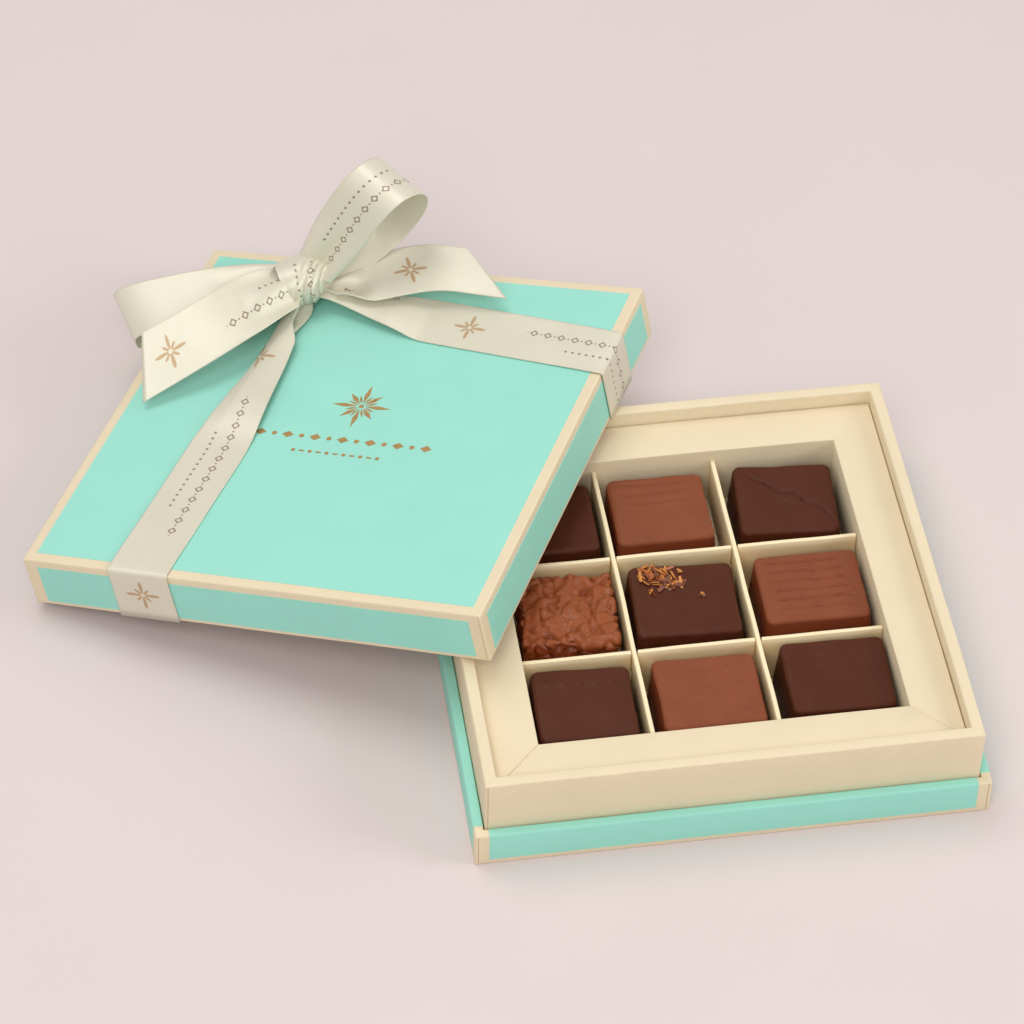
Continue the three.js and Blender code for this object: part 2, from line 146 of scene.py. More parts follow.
def socket_of(value):
    return value.socket if isinstance(value, Value) else value


def add_node(material, kind, inputs=None, **settings):
    """Adds a node. inputs maps a socket's name or number to a value or to another node's output."""
    made = material.node_tree.nodes.new("ShaderNode" + kind)
    for key, value in settings.items():
        setattr(made, key, value)
    for key, value in (inputs or {}).items():
        if isinstance(socket_of(value), bpy.types.NodeSocket):
            material.node_tree.links.new(socket_of(value), made.inputs[key])
        else:
            made.inputs[key].default_value = value
    return made


class Value:
    """A number that the nodes of a material work out. Each step of arithmetic with it adds a node."""

    def __init__(self, material, socket):
        self.material, self.socket = material, socket

    def step(self, operation, *others):
        made = add_node(self.material, "Math", dict(enumerate((self, *others))), operation=operation)
        return Value(self.material, made.outputs[0])

    __add__ = partialmethod(step, "ADD")
    __sub__ = partialmethod(step, "SUBTRACT")
    __mul__ = partialmethod(step, "MULTIPLY")
    __truediv__ = partialmethod(step, "DIVIDE")
    __gt__ = partialmethod(step, "GREATER_THAN")
    __lt__ = partialmethod(step, "LESS_THAN")
    __abs__ = partialmethod(step, "ABSOLUTE")


print("nodes can be added and reckoned with")

# %% [markdown]
# ## Colour, grain and bump
#
# Every finish here is made of the same few things: soft noise that varies a colour, finer noise that makes
# a bump, and painted shade that deepens a colour from a height down. Each is a short helper, so that a
# material is down to the lines that make it different.

# %% Colour, grain and bump
def connect(material, output, socket):
    shader = material.node_tree.nodes["Principled BSDF"]
    material.node_tree.links.new(socket_of(output), shader.inputs[socket])


def grain(material, scale, detail=3.0, stretch=(1, 1, 1)):
    """Noise over the piece's own place in the frame. scale is in cycles for each metre."""
    place = add_node(material, "TexCoord").outputs["Object"]
    spread = add_node(material, "Mapping", {"Vector": place, "Scale": stretch}).outputs[0]
    made = add_node(material, "TexNoise", {"Vector": spread, "Scale": scale, "Detail": detail})
    return Value(material, made.outputs["Fac"])


def mix_colours(material, factor, first, second):
    """Gives the shader a mixture of two colours, each of them three numbers or another node's output."""
    first, second = [(*c, 1) if isinstance(c, (tuple, list)) else c for c in (first, second)]
    mixed = add_node(material, "Mix", {"Factor": factor, "A": first, "B": second}, data_type="RGBA")
    connect(material, mixed.outputs["Result"], "Base Color")
    return mixed.outputs["Result"]


def paint_shade_below(material, top, depth, shade_colour):
    """Painted shade: from the height top down, the colour made so far gives way to a darker one."""
    so_far = material.node_tree.nodes["Principled BSDF"].inputs["Base Color"].links[0].from_socket
    place = add_node(material, "TexCoord").outputs["Object"]
    rise = add_node(material, "SeparateXYZ", {0: place}).outputs["Z"]
    levels = {"Value": rise, "From Min": top, "From Max": top - depth, "To Min": 0.0, "To Max": 1.0}
    shade_share = add_node(material, "MapRange", levels, interpolation_type="SMOOTHSTEP").outputs[0]
    mix_colours(material, shade_share, so_far, shade_colour)


def add_bump(material, heights, distance, strength=1.0):
    """heights is a list of (value, share): their sum becomes the bump."""
    total = 0.0
    for value, share in heights:
        total = value.step("MULTIPLY_ADD", share, total)
    bump = add_node(material, "Bump", {"Height": total, "Distance": distance, "Strength": strength})
    connect(material, bump.outputs[0], "Normal")


def shaded(colour, share, lift=0.0):
    """The colour made darker or lighter, each of its parts by a share."""
    shares = share if isinstance(share, tuple) else (share,) * 3
    return [min(1, c * k + lift) for c, k in zip(colour, shares)]


print("helpers for colour, grain and bump are ready")

# %% [markdown]
# ## Wrapped board
#
# The tray, the neck and the lid are grey board wrapped in paper. The paper is uncoated and matt, with a
# faint cloudiness and a fibre that can be felt more than seen. Cream paper wraps everything first, and
# mint panels are laid over it, so the cream shows as narrow bands at the edges and corners.

# %% Paper materials
MINT = (0.325, 0.735, 0.62)
CREAM = (0.785, 0.67, 0.47)
CLOUDS_PER_METRE = 70
FIBRES_PER_METRE = 1500
PAPER_BUMP = 0.06 * MM


def paper(name, colour, roughness=0.62, fibre=0.5, streaks=(1, 1, 1)):
    material = new_material(name, colour, roughness, Specular_IOR_Level=0.35)
    clouds = grain(material, CLOUDS_PER_METRE, 2)
    mix_colours(material, clouds, shaded(colour, 0.955), shaded(colour, 1.03))
    fibres = grain(material, FIBRES_PER_METRE, 5, streaks)
    add_bump(material, [(fibres, fibre), (clouds, 0.6)], PAPER_BUMP, 0.6)
    return material


mint_paper = paper("mint_paper", MINT, roughness=0.55, fibre=0.3)
cream_paper = paper("cream_paper", CREAM, fibre=0.7, streaks=(0.35, 1, 1))
CARD_CREAM = (0.93, 0.79, 0.52)
cream_card = paper("cream_card", CARD_CREAM, fibre=0.9)
print("three papers")

# %% [markdown]
# ## A helper for finished pieces
#
# Everything is modelled in millimetres, some of it in the lid's own frame. The last step scales the mesh
# to metres and puts it in its place, so that every object itself stays at the origin, unturned. Corners
# sharper than a set angle stay crisp and the rest is shaded smooth.

# %% Piece helper
def finish_piece(name, bm, materials, nodes=(), place=Matrix.Identity(4), sharp=40):
    bmesh.ops.transform(bm, matrix=Matrix.Scale(MM, 4) @ place, verts=bm.verts)
    mesh = bpy.data.meshes.new(name)
    bm.to_mesh(mesh)
    bm.free()
    for material in materials:
        mesh.materials.append(material)
    mesh.shade_smooth()
    mesh.set_sharp_from_angle(angle=math.radians(sharp))
    piece = bpy.data.objects.new(name, mesh)
    bpy.context.scene.collection.objects.link(piece)
    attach(piece, "root")
    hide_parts(*nodes)
    return piece


def box_mm(node):
    low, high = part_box(node)
    return low / MM, high / MM


def everything(bm):
    return bm.verts[:] + bm.edges[:] + bm.faces[:]


def block(size_x, size_y, low, high):
    """A plain block between two heights, with its middle over the origin."""
    bm = bmesh.new()
    bmesh.ops.create_cube(bm, size=1)
    bmesh.ops.scale(bm, vec=(size_x, size_y, high - low), verts=bm.verts)
    bmesh.ops.translate(bm, vec=(0, 0, (low + high) / 2), verts=bm.verts)
    return bm


def pull_out(bm, faces, by):
    """Extrudes the faces, moves what is new and returns its points."""
    grown = bmesh.ops.extrude_face_region(bm, geom=faces)["geom"]
    points = [v for v in grown if isinstance(v, bmesh.types.BMVert)]
    bmesh.ops.translate(bm, vec=by, verts=points)
    return points


def round_edges(bm, radius, segments=3):
    sharp = [e for e in bm.edges if e.calc_face_angle(0) > 1]
    bmesh.ops.bevel(
        bm, geom=sharp, offset=radius, offset_type="OFFSET", segments=segments, profile=0.5,
        affect="EDGES", material=-1,
    )


def every(step, count):
    """Evenly spaced places, with the given count on either side of the middle one."""
    return [k * step for k in range(-count, count + 1)]


def cut_at(bm, axis, places):
    """Adds an edge loop where the given planes cross the mesh."""
    normal = Vector([float(axis == k) for k in "xyz"])
    for place in places:
        bmesh.ops.bisect_plane(bm, geom=everything(bm), plane_co=normal * place, plane_no=normal)


print("pieces are modelled in millimetres and finished in metres")

# %% [markdown]
# ## Board shells
#
# A tray is a box with one side open. It starts as a block: the top face is inset by the wall's thickness
# and pushed down to the floor, and every sharp edge is bevelled as paper round board is. The lid is the
# same shape turned over. Sheets with a solidify modifier would also do, but the inset keeps the ledge
# and both walls in one mesh, so the paper panels can be picked out of its faces.

# %% Board shell helper
BOARD_ROUND = 0.45
WARP = 0.09


def board_shell(side, low, high, wall, floor):
    bm = block(side, side, low, high)
    top = [f for f in bm.faces if f.normal.z > 0.9]
    bmesh.ops.inset_region(bm, faces=top, thickness=wall, use_even_offset=True)
    pull_out(bm, top, (0, 0, low + floor - high))
    bmesh.ops.delete(bm, geom=top, context="FACES_ONLY")
    round_edges(bm, BOARD_ROUND)
    return bm


NOISE_SEED = 7
noise.seed_set(NOISE_SEED)  # noise vectors start from the clock if no seed is set


def warp_board(bm, seed, amount=WARP):
    """Board is never quite flat: a slow drift of a tenth of a millimetre takes the ruler's edge off."""
    for v in bm.verts:
        drift = noise.noise_vector(v.co * 0.045 + Vector((seed, 0, 0)))
        v.co += Vector((drift.x, drift.y, drift.z * 0.6)) * amount


def lay_paper(bm, chosen, index, thick=0.12):
    """Gives the chosen faces another material and raises them by the paper's thickness."""
    faces = [f for f in bm.faces if chosen(f.calc_center_median(), f.normal)]
    for f in faces:
        f.material_index = index
    bmesh.ops.inset_region(bm, faces=faces, thickness=0.06, depth=thick, use_even_offset=True)
    return len(faces)


SCORE_HALF_WIDTH = 0.13


def score_line(bm, axis, at, wall_axis, wall_at, depth=0.32):
    """A fine dark line in a wall, where the wrapping paper ends: three cuts, the middle one pressed in."""
    cut_at(bm, axis, [at - SCORE_HALF_WIDTH, at, at + SCORE_HALF_WIDTH])
    along, through = "xyz".index(axis), "xyz".index(wall_axis)
    for v in bm.verts:
        if abs(v.co[along] - at) < 0.01 and abs(v.co[through] - wall_at) < 0.02:
            v.co[through] -= math.copysign(depth, wall_at)


print("board edges are rounded by", BOARD_ROUND, "mm")

# %% [markdown]
# ## Tray
#
# The outer tray is low. Mint paper covers the middle of each wall and folds over the ledge, and the cream
# under it shows at the four corners and as a thin line along the foot. The panels are cut into the mesh
# along those lines and raised by the thickness of the paper, so that their edges catch the light.

# %% Tray
TRAY_WALL = 2.5
TRAY_FLOOR = 2.0
TRAY_CORNER = 3.7
TRAY_LINE = 1.8
SCORE_FROM_CORNER = 0.9

low, high = box_mm("base_tray")
tray_side = high.x - low.x
tray = board_shell(tray_side, low.z, high.z, TRAY_WALL, TRAY_FLOOR)
strip_at = tray_side / 2 - TRAY_CORNER
for axis in "xy":
    cut_at(tray, axis, [-strip_at, strip_at, *every(22, 2)])
cut_at(tray, "z", [low.z + TRAY_LINE])
for hand in (-1, 1):
    score_line(tray, "x", hand * (tray_side / 2 - SCORE_FROM_CORNER), "y", -tray_side / 2)


def on_tray_panel(middle, normal):
    across = max(abs(middle.x), abs(middle.y))
    along = min(abs(middle.x), abs(middle.y))
    outside = across > tray_side / 2 - TRAY_WALL + 0.01
    return outside and along < strip_at and middle.z > low.z + TRAY_LINE and normal.z > -0.5


panels = lay_paper(tray, on_tray_panel, 1)
warp_board(tray, 1)
finish_piece("tray", tray, [cream_paper, mint_paper], ["base_tray"])
print("tray", round(tray_side, 1), "mm square,", panels, "mint faces")

# %% [markdown]
# ## Neck
#
# The neck stands inside the tray and the lid slides over it. It is all cream. At its front left corner the
# wrapping ends in a seam, a fine upright line. The shell helper makes the neck and the score helper the
# seam. More cuts along the rim let the slow drift of the board show in it.

# %% Neck
NECK_WALL = 3.2
NECK_FLOOR = 1.2
SEAM_FROM_CORNER = 0.7

low, high = box_mm("neck_tray")
neck_side = high.x - low.x
neck = board_shell(neck_side, low.z, high.z, NECK_WALL, NECK_FLOOR)
for axis in "xy":
    cut_at(neck, axis, every(8, 7))
cut_at(neck, "z", [high.z - 6, high.z - 12])
score_line(neck, "x", SEAM_FROM_CORNER - neck_side / 2, "y", -neck_side / 2)
warp_board(neck, 2, 0.14)
finish_piece("neck", neck, [cream_paper], ["neck_tray"])
print("neck", round(neck_side, 1), "mm square, rim at", round(high.z, 1), "mm")

# %% [markdown]
# ## Mat
#
# The mat is a folded frame of cream card round the square opening. It is mitred at its two front corners,
# where a hairline shows. A frame is a slab whose top and bottom are inset and then joined by inner walls.
# The hairline is a groove: three cuts close together along the corner, the middle one pressed down.

# %% Mat
OPENING = 97.2
MITRE_HALF_WIDTH = 0.16
MITRE_DEPTH = 0.35
MAT_ROUND = 0.35

low, high = box_mm("mat_frame")
mat_side = high.x - low.x
mat = block(mat_side, mat_side, low.z, high.z)
level_faces = [f for f in mat.faces if abs(f.normal.z) > 0.9]
bmesh.ops.inset_individual(mat, faces=level_faces, thickness=(mat_side - OPENING) / 2, use_even_offset=True)
bmesh.ops.bridge_loops(mat, edges=[e for f in level_faces for e in f.edges])
bmesh.ops.delete(mat, geom=level_faces, context="FACES_ONLY")
bmesh.ops.recalc_face_normals(mat, faces=mat.faces)
round_edges(mat, MAT_ROUND)
for axis in "xy":
    cut_at(mat, axis, every(14, 3))
for hand in (-1, 1):
    corner = Vector((hand, -1, 0)).normalized()
    sideways = Vector((0, 0, 1)).cross(corner)
    for shift in (-MITRE_HALF_WIDTH, 0, MITRE_HALF_WIDTH):
        bmesh.ops.bisect_plane(mat, geom=everything(mat), plane_co=sideways * shift, plane_no=sideways)
    for v in mat.verts:
        on_line = abs(v.co.dot(sideways)) < 0.02 and v.co.dot(corner) > 0
        if on_line and v.co.z > high.z - 0.02:
            v.co.z -= MITRE_DEPTH
warp_board(mat, 3, 0.12)
finish_piece("mat", mat, [cream_paper], ["mat_frame"])
print("mat", round(mat_side, 1), "mm square round an opening of", OPENING, "mm")

# %% [markdown]
# ## Slotted cards
#
# Four cards cross in the opening and make nine cells. Each has a slot at both crossings, the long cards
# from below and the cross cards from above, so that they push together. A card is drawn from its side as
# one outline, extruded by its thickness, and then bent a little, because thin card is never straight. Just
# below its top edge its colour deepens: painted shade, where the cells keep the light out.

# %% Slotted cards
CARD = 1.2
SLOT_PLAY = 0.3
CARD_ROUND = 0.25
CARD_BEND = 0.22
SLOT_GAP = 0.15
# painted shade: from just below the top edge down, the card's colour darkens by these shares
CARD_PAINTED_SHADE = (0.94, 0.85, 0.72)
CARD_SHADE_DEPTH = 2.5 * MM
card_top = (box_mm("divider_long_1")[1].z - 0.3) * MM
paint_shade_below(cream_card, card_top, CARD_SHADE_DEPTH, shaded(CARD_CREAM, CARD_PAINTED_SHADE))


def slotted_card(low, high, crossings, slot_from_top, seed):
    """A card that stands along x, with its slots at the given places."""
    slotted, plain = (high.z, low.z) if slot_from_top else (low.z, high.z)
    middle = (low.z + high.z) / 2 + (-SLOT_GAP if slot_from_top else SLOT_GAP)
    half_slot = CARD / 2 + SLOT_PLAY
    outline = [(low.x, plain), (low.x, slotted)]
    for at in crossings:
        outline += [(at - half_slot, slotted), (at - half_slot, middle)]
        outline += [(at + half_slot, middle), (at + half_slot, slotted)]
    outline += [(high.x, slotted), (high.x, plain)]
    bm = bmesh.new()
    face = bm.faces.new([bm.verts.new((x, -CARD / 2, z)) for x, z in outline])
    pull_out(bm, [face], (0, CARD, 0))
    bmesh.ops.recalc_face_normals(bm, faces=bm.faces)
    round_edges(bm, CARD_ROUND, 2)
    cut_at(bm, "x", every(4, 11))
    cut_at(bm, "z", [high.z - 2, high.z - 5])
    for v in bm.verts:
        v.co.y += CARD_BEND * noise.noise(Vector((v.co.x * 0.05, v.co.z * 0.03, seed)))
        v.co.z += 0.12 * noise.noise(Vector((v.co.x * 0.08, seed, 3.3)))
    return bm


cards_at = {
    "long": [sum(c.x for c in box_mm(f"divider_long_{i}")) / 2 for i in (1, 2)],
    "cross": [sum(c.y for c in box_mm(f"divider_cross_{i}")) / 2 for i in (1, 2)],
}
for kind, crossing, seed in (("long", "cross", 10), ("cross", "long", 20)):
    for i, at in enumerate(cards_at[kind]):
        name = f"{kind}_{i + 1}"
        low, high = box_mm("divider_" + name)
        place = Matrix.Translation((0, at, 0))
        if kind == "long":
            low, high = Vector((low.y, 0, low.z)), Vector((high.y, 0, high.z))
            place = Matrix.Translation((at, 0, 0)) @ Matrix.Rotation(math.pi / 2, 4, "Z")
        card = slotted_card(low, high, cards_at[crossing], kind == "cross", seed + i)
        finish_piece("card_" + name, card, [cream_card], ["divider_" + name], place)
print("cards stand at", {kind: [round(at, 1) for at in places] for kind, places in cards_at.items()})

# %% [markdown]
# ## Chocolate
#
# Dipped chocolate is neither a mirror nor matt. It has a soft, slightly broken sheen, fine pores and a
# faint cloud of bloom. A little light goes into the milk chocolate and comes out warmer at its edges,
# which a small subsurface share gives. Roughness follows a noise so that the sheen breaks up. The colour
# deepens from the shoulder down: painted shade on the sides, steered by the height in the frame.

# %% Chocolate materials
DARK = (0.083, 0.0210, 0.0085)
MILK = (0.234, 0.0660, 0.0285)
NUTTY = (0.295, 0.077, 0.0225)
PRALINE_HEIGHT = 14.6
CHOCOLATE_TOP = (box_mm("praline_centre")[0].z + PRALINE_HEIGHT - 0.3) * MM
SIDE_SHADE_DEPTH = 1.1 * MM
SIDE_PAINTED_SHADE = (0.68, 0.52, 0.44)
BLOOM_PER_METRE = 90
SHEEN_PER_METRE = 420
SHEEN_SPREAD = 0.22
PORES_PER_METRE = 1900
CHOCOLATE_BUMP = 0.07 * MM


def chocolate(name, colour, roughness, scatter, pore=0.35, shine=0.15):
    material = new_material(
        name, colour, roughness, Specular_IOR_Level=shine, Subsurface_Weight=scatter,
        Subsurface_Radius=(1.0, 0.4, 0.2), Subsurface_Scale=0.0012,
    )
    bloom = grain(material, BLOOM_PER_METRE, 4)
    mix_colours(material, bloom, shaded(colour, 0.86), shaded(colour, 1.16, 0.004))
    # painted shade: the sides and fronts darken from just below the top, where they get less light
    paint_shade_below(material, CHOCOLATE_TOP, SIDE_SHADE_DEPTH, shaded(colour, SIDE_PAINTED_SHADE))
    broken = grain(material, SHEEN_PER_METRE, 3)
    connect(material, broken * SHEEN_SPREAD + (roughness - SHEEN_SPREAD / 2), "Roughness")
    pores = grain(material, PORES_PER_METRE, 4)
    add_bump(material, [(broken, 0.5), (pores, pore)], CHOCOLATE_BUMP, 0.7)
    return material


dark_chocolate = chocolate("dark_chocolate", DARK, 0.44, 0.05)
milk_chocolate = chocolate("milk_chocolate", MILK, 0.46, 0.15)
nut_chocolate = chocolate("nut_chocolate", NUTTY, 0.34, 0.2, pore=0.2, shine=0.28)
print("three chocolates")

# %% [markdown]
# ## A dipped square
#
# A praline is a cut square of filling dipped in chocolate. Its plan has round corners, its top edge is
# rounded more tightly, its front face leans back a little, and the coating spreads at the foot. A bevelled
# cube gives the plain form but no way to draw relief on it. So a finely divided block is used, and each of
# its points is moved to the rounded form and then out along the form's own normal by the relief. The
# slow swell, drawn from a seed, makes every piece a little different.

# %% Praline helpers
PRALINE_CUTS = 72
PLAN_ROUND = 2.1
TOP_ROUND = 1.1
FRONT_LEAN = 2.3
FOOT_SPREAD = 0.06
SWELL = 0.32
CRINKLE = 0.05


def smooth(x, start, end):
    t = max(0.0, min(1.0, (x - start) / (end - start)))
    return t * t * (3 - 2 * t)


def round_square(x, y, half_x, half_y):
    """The point of a round-cornered outline that lies in the direction of (x, y), and its normal."""
    level = max(abs(x) / half_x, abs(y) / half_y, 1e-6)
    on_edge = Vector((x / level, y / level))
    inner_x, inner_y = half_x - PLAN_ROUND, half_y - PLAN_ROUND
    inner = Vector((max(-inner_x, min(inner_x, on_edge.x)), max(-inner_y, min(inner_y, on_edge.y))))
    normal = (on_edge - inner).normalized()
    return level, inner + normal * PLAN_ROUND, normal


def praline_point(co, half_x, half_y):
    """Where a point of the divided block goes on the rounded form, and the form's normal there."""
    level, edge, normal = round_square(co.x, co.y, half_x, half_y)
    half = min(half_x, half_y)
    on_top = co.z > PRALINE_HEIGHT - 1e-4
    depth = (1 - level) * half if on_top else PRALINE_HEIGHT - co.z
    if on_top and depth > TOP_ROUND:
        inset = edge - normal * TOP_ROUND
        inside = inset * (level / (1 - TOP_ROUND / half))
        return Vector((inside.x, inside.y, PRALINE_HEIGHT)), Vector((0, 0, 1))
    share = min(1, depth / TOP_ROUND)
    angle = math.radians(45 + 45 * share if on_top else 45 - 45 * share)
    plan = edge - normal * TOP_ROUND * (1 - math.cos(angle))
    lift = min(co.z, PRALINE_HEIGHT - TOP_ROUND * (1 - math.sin(angle)))
    out = Vector((normal.x * math.cos(angle), normal.y * math.cos(angle), math.sin(angle)))
    if co.z < 1e-4:
        plan = edge * level
        out = Vector((normal.x, normal.y, 0))
    return Vector((plan.x, plan.y, lift)), out


def praline(name, size, turn, material, seed, relief=None, crag=None):
    """relief(x, y) raises the top, and crag(point) pushes the whole skin outwards. Both are in mm."""
    low, high = box_mm("praline_" + name)
    middle = (low + high) / 2
    half_x, half_y = size[0] / 2, size[1] / 2
    bm = block(*size, 0, PRALINE_HEIGHT)
    bmesh.ops.subdivide_edges(bm, edges=bm.edges[:], cuts=PRALINE_CUTS, use_grid_fill=True)
    for v in bm.verts:
        p, out = praline_point(v.co, half_x, half_y)
        p.y += FRONT_LEAN * (p.z / PRALINE_HEIGHT) ** 2 * (half_y - p.y) / size[1]
        slow = noise.noise(p * 0.11 + Vector((seed * 7.3, 0, 0)))
        fine = noise.fractal(p * 0.45 + Vector((0, seed * 3.1, 0)), 1.0, 2.0, 3)
        push = SWELL * slow + CRINKLE * fine
        if relief and out.z > 0:
            push += out.z * relief(p.x, p.y)
        if crag:
            push += crag(p)
        spread = 1 + FOOT_SPREAD * (1 - p.z / PRALINE_HEIGHT)
        v.co = Vector((p.x * spread, p.y * spread, p.z)) + out * push
        v.co.z = max(0, v.co.z)
    place = Matrix.Translation((middle.x, middle.y, low.z)) @ Matrix.Rotation(math.radians(turn), 4, "Z")
    finish_piece("chocolate_" + name, bm, [material], ["praline_" + name], place, sharp=75)
    return place


print("each praline has about", 12 * PRALINE_CUTS ** 2, "triangles")

# %% [markdown]
# ## Reliefs
#
# What sets the nine apart is drawn on their tops: the grooves of a dipping fork with soft ridges between, a
# line that runs across where the coating slid, rows of marks or pits, soft bumps from the filling. Each is
# a small function of the place on the top. A painted bump could fake them, but these are deep enough to
# shade and to show at the edge.

# %% Reliefs
GROOVE_WIDTH = 0.5


def fork_ridges(first, last, pitch, height, half_width=10.5):
    """Grooves from side to side, bowed a little, that fade at both ends. Between two the top rises slowly."""
    def relief(x, y):
        bowed = y - 0.004 * x * x + 0.35 * noise.noise(Vector((x * 0.35, y * 0.12, first)))
        fade = smooth(y, first, first + pitch) * (1 - smooth(y, last - pitch * 0.5, last + pitch * 0.5))
        frayed = abs(x + noise.noise(Vector((y * 0.6, 1, 2))) * 1.5)
        fade *= 1 - smooth(frayed, half_width - 2.5, half_width)
        share = (bowed / pitch) % 1
        groove = math.exp(-(min(share, 1 - share) * pitch / GROOVE_WIDTH) ** 2)
        return height * fade * (0.35 * share - groove)
    return relief


def bump_row(places, radius, height):
    """Round bumps at the places, or pits where the height is negative."""
    def relief(x, y):
        near = max(math.exp(-((x - bx) ** 2 + (y - by) ** 2) / radius ** 2) for bx, by in places)
        return height * near
    return relief


def fold(points, width, height, drop):
    """A raised line through the points, or a groove where the height is negative. The side in front of it
    lies lower by the drop."""
    def relief(x, y):
        for (x0, y0), (x1, y1) in zip(points, points[1:]):
            if x <= x1 or (x1, y1) == points[-1]:
                line = y0 + (y1 - y0) * (x - x0) / (x1 - x0)
                break
        line += 0.5 * math.sin(x * 0.9)
        away, start, end = y - line, points[0][0], points[-1][0]
        ends = smooth(x, start - 1, start + 2) * (1 - smooth(x, end - 1, end + 1.5))
        ridge = height * math.exp(-(away / width) ** 2)
        return ends * (ridge - drop * smooth(-away, 0, 0.8) * math.exp(away / 5))
    return relief


def both(*reliefs):
    return lambda x, y: sum(r(x, y) for r in reliefs)


def seeded(seed):
    """Random numbers from 0 to 1, by the same rule as in the solids, so the knobs fall in the same places."""
    state = [seed]

    def draw():
        state[0] = (state[0] * 1664525 + 1013904223) % 4294967296
        return state[0] / 4294967296
    return draw


print("reliefs are ready")

# %% [markdown]
# ## Nine pralines
#
# The tops follow the photograph from the back left: a dark one with a soft streak, milk with ridges along
# its back edge, dark with a slanting groove, the knobbly nut cluster, dark with toasted shreds, milk with
# fork ridges and a scar of small pits, dark with a row of marks, milk with bumps, dark with faint lines.

# %% Smooth pralines
streak = fold([(-12, -9), (0, 1), (12, 11)], 2.4, 0.22, 0.1)
praline("back_left", (26, 26), 0, dark_chocolate, 1, streak)

back_ridges = fork_ridges(1.0, 12, 3.4, 0.5)
side_lip = bump_row([(12.6, -8.5), (12.9, -5.5)], 1.8, 0.5)
praline("back_mid", (26.2, 26), -0.8, milk_chocolate, 2, both(back_ridges, side_lip))

slant = fold([(-9.5, 10.5), (-4, 5.5), (2, 2.4), (8, -2.2), (11, -5.5)], 0.42, -0.85, 0.3)
nick = bump_row([(-1.2, 1.4), (0.3, 0.6), (2.2, -0.6)], 0.7, 0.36)
praline("back_right", (26.8, 27), -4.2, dark_chocolate, 3, both(slant, nick))

centre_place = praline("centre", (28, 26.8), -2.6, dark_chocolate, 5)

ridges = fork_ridges(-8.2, 12.5, 3.3, 0.58, 11.5)
pits = [(0.6 + 0.3 * (k % 3), 1.1 * k) for k in range(9)] + [(0.5, -4.6), (0.2, -5.4), (0.4, -6.2)]
scar = bump_row(pits, 0.5, -0.6)
praline("mid_right", (28, 26), -0.8, milk_chocolate, 6, both(ridges, scar))

marks = bump_row([(-9 + 4.2 * k, 8) for k in range(5)], 0.8, 0.32)
praline("front_left", (26, 26), -2, dark_chocolate, 7, marks)

specks = [
    (-8.5, 7), (-6, 5), (-2, 8), (1, 6.5), (4, -2), (-3, -4), (8, 2), (6, 8), (-9, -2), (0, 1.5), (9, -7),
]
praline("front_mid", (27, 26), -0.4, milk_chocolate, 8, bump_row(specks, 0.75, 0.5))

lines = fork_ridges(-2, 11.5, 3.6, 0.26)
chip = bump_row([(-12.9, y) for y in (-11, -9.5, -8, -6.5)], 0.7, 0.35)
praline("front_right", (27.6, 26), -1.6, dark_chocolate, 9, both(lines, chip))
print("eight smooth pralines")

# %% [markdown]
# ## Nut cluster
#
# The craggy piece is chopped nuts under a thin coat. Its knobs are round lumps at random places: the skin
# goes out to the highest lump at each point. The lumps come from the same seeded rule as in the solid, so
# the piece fills the same space, with a finer crumple added between them.

# %% Nut cluster
NUT_SIZE = (25, 26.2)
NUT_COUNT = 60
draw = seeded(11)
knobs = []
for _ in range(NUT_COUNT):
    across = (draw() - 0.5) * 1.05 * NUT_SIZE[0]
    back = (draw() - 0.5) * 1.05 * NUT_SIZE[1]
    lift = PRALINE_HEIGHT * min(1, 0.2 + draw() * 1.6)
    knobs.append((Vector((across, back, lift)), 2.6 + 2.4 * draw(), 0.6 + 1.1 * draw()))


def nut_crag(p):
    lumps = max(h * (1 - (p - at).length_squared / r ** 2) for at, r, h in knobs)
    crumple = noise.fractal(p * 0.34, 1.0, 2.1, 2)
    crease = abs(noise.noise(p * 0.24 + Vector((4, 4, 4))))
    side = smooth(max(abs(p.x) / NUT_SIZE[0], abs(p.y) / NUT_SIZE[1]), 0.34, 0.46)
    notch = (0.7 + 0.15 * side) * (1 - smooth(crease, 0, 0.22))
    return max(0, lumps) - 0.3 + 0.8 * crumple - notch


praline("mid_left", NUT_SIZE, -4, nut_chocolate, 4, crag=nut_crag)
print("the nut cluster has", len(knobs), "knobs")

# %% [markdown]
# ## Toasted shreds
#
# A pinch of toasted wafer shreds lies on the centre praline. Each is a thin curled strip one to four
# millimetres long. One strip is a short grid that is bent and thickened. Some ninety are scattered over
# five patches by a seeded rule and joined in one mesh with three shades of toast.

# %% Toasted shreds
def toast(name, colour):
    material = new_material(name, colour, 0.42, Specular_IOR_Level=0.5)
    flecks = grain(material, 900, 3)
    mix_colours(material, flecks, shaded(colour, 0.62), shaded(colour, 1.35))
    add_bump(material, [(flecks, 1.0)], 0.08 * MM, 0.6)
    return material


TOASTS = {"gold": (0.62, 0.24, 0.055), "amber": (0.42, 0.11, 0.02), "brown": (0.17, 0.04, 0.01)}
SHRED_THICK = 0.22
SHRED_BASE = 14.85


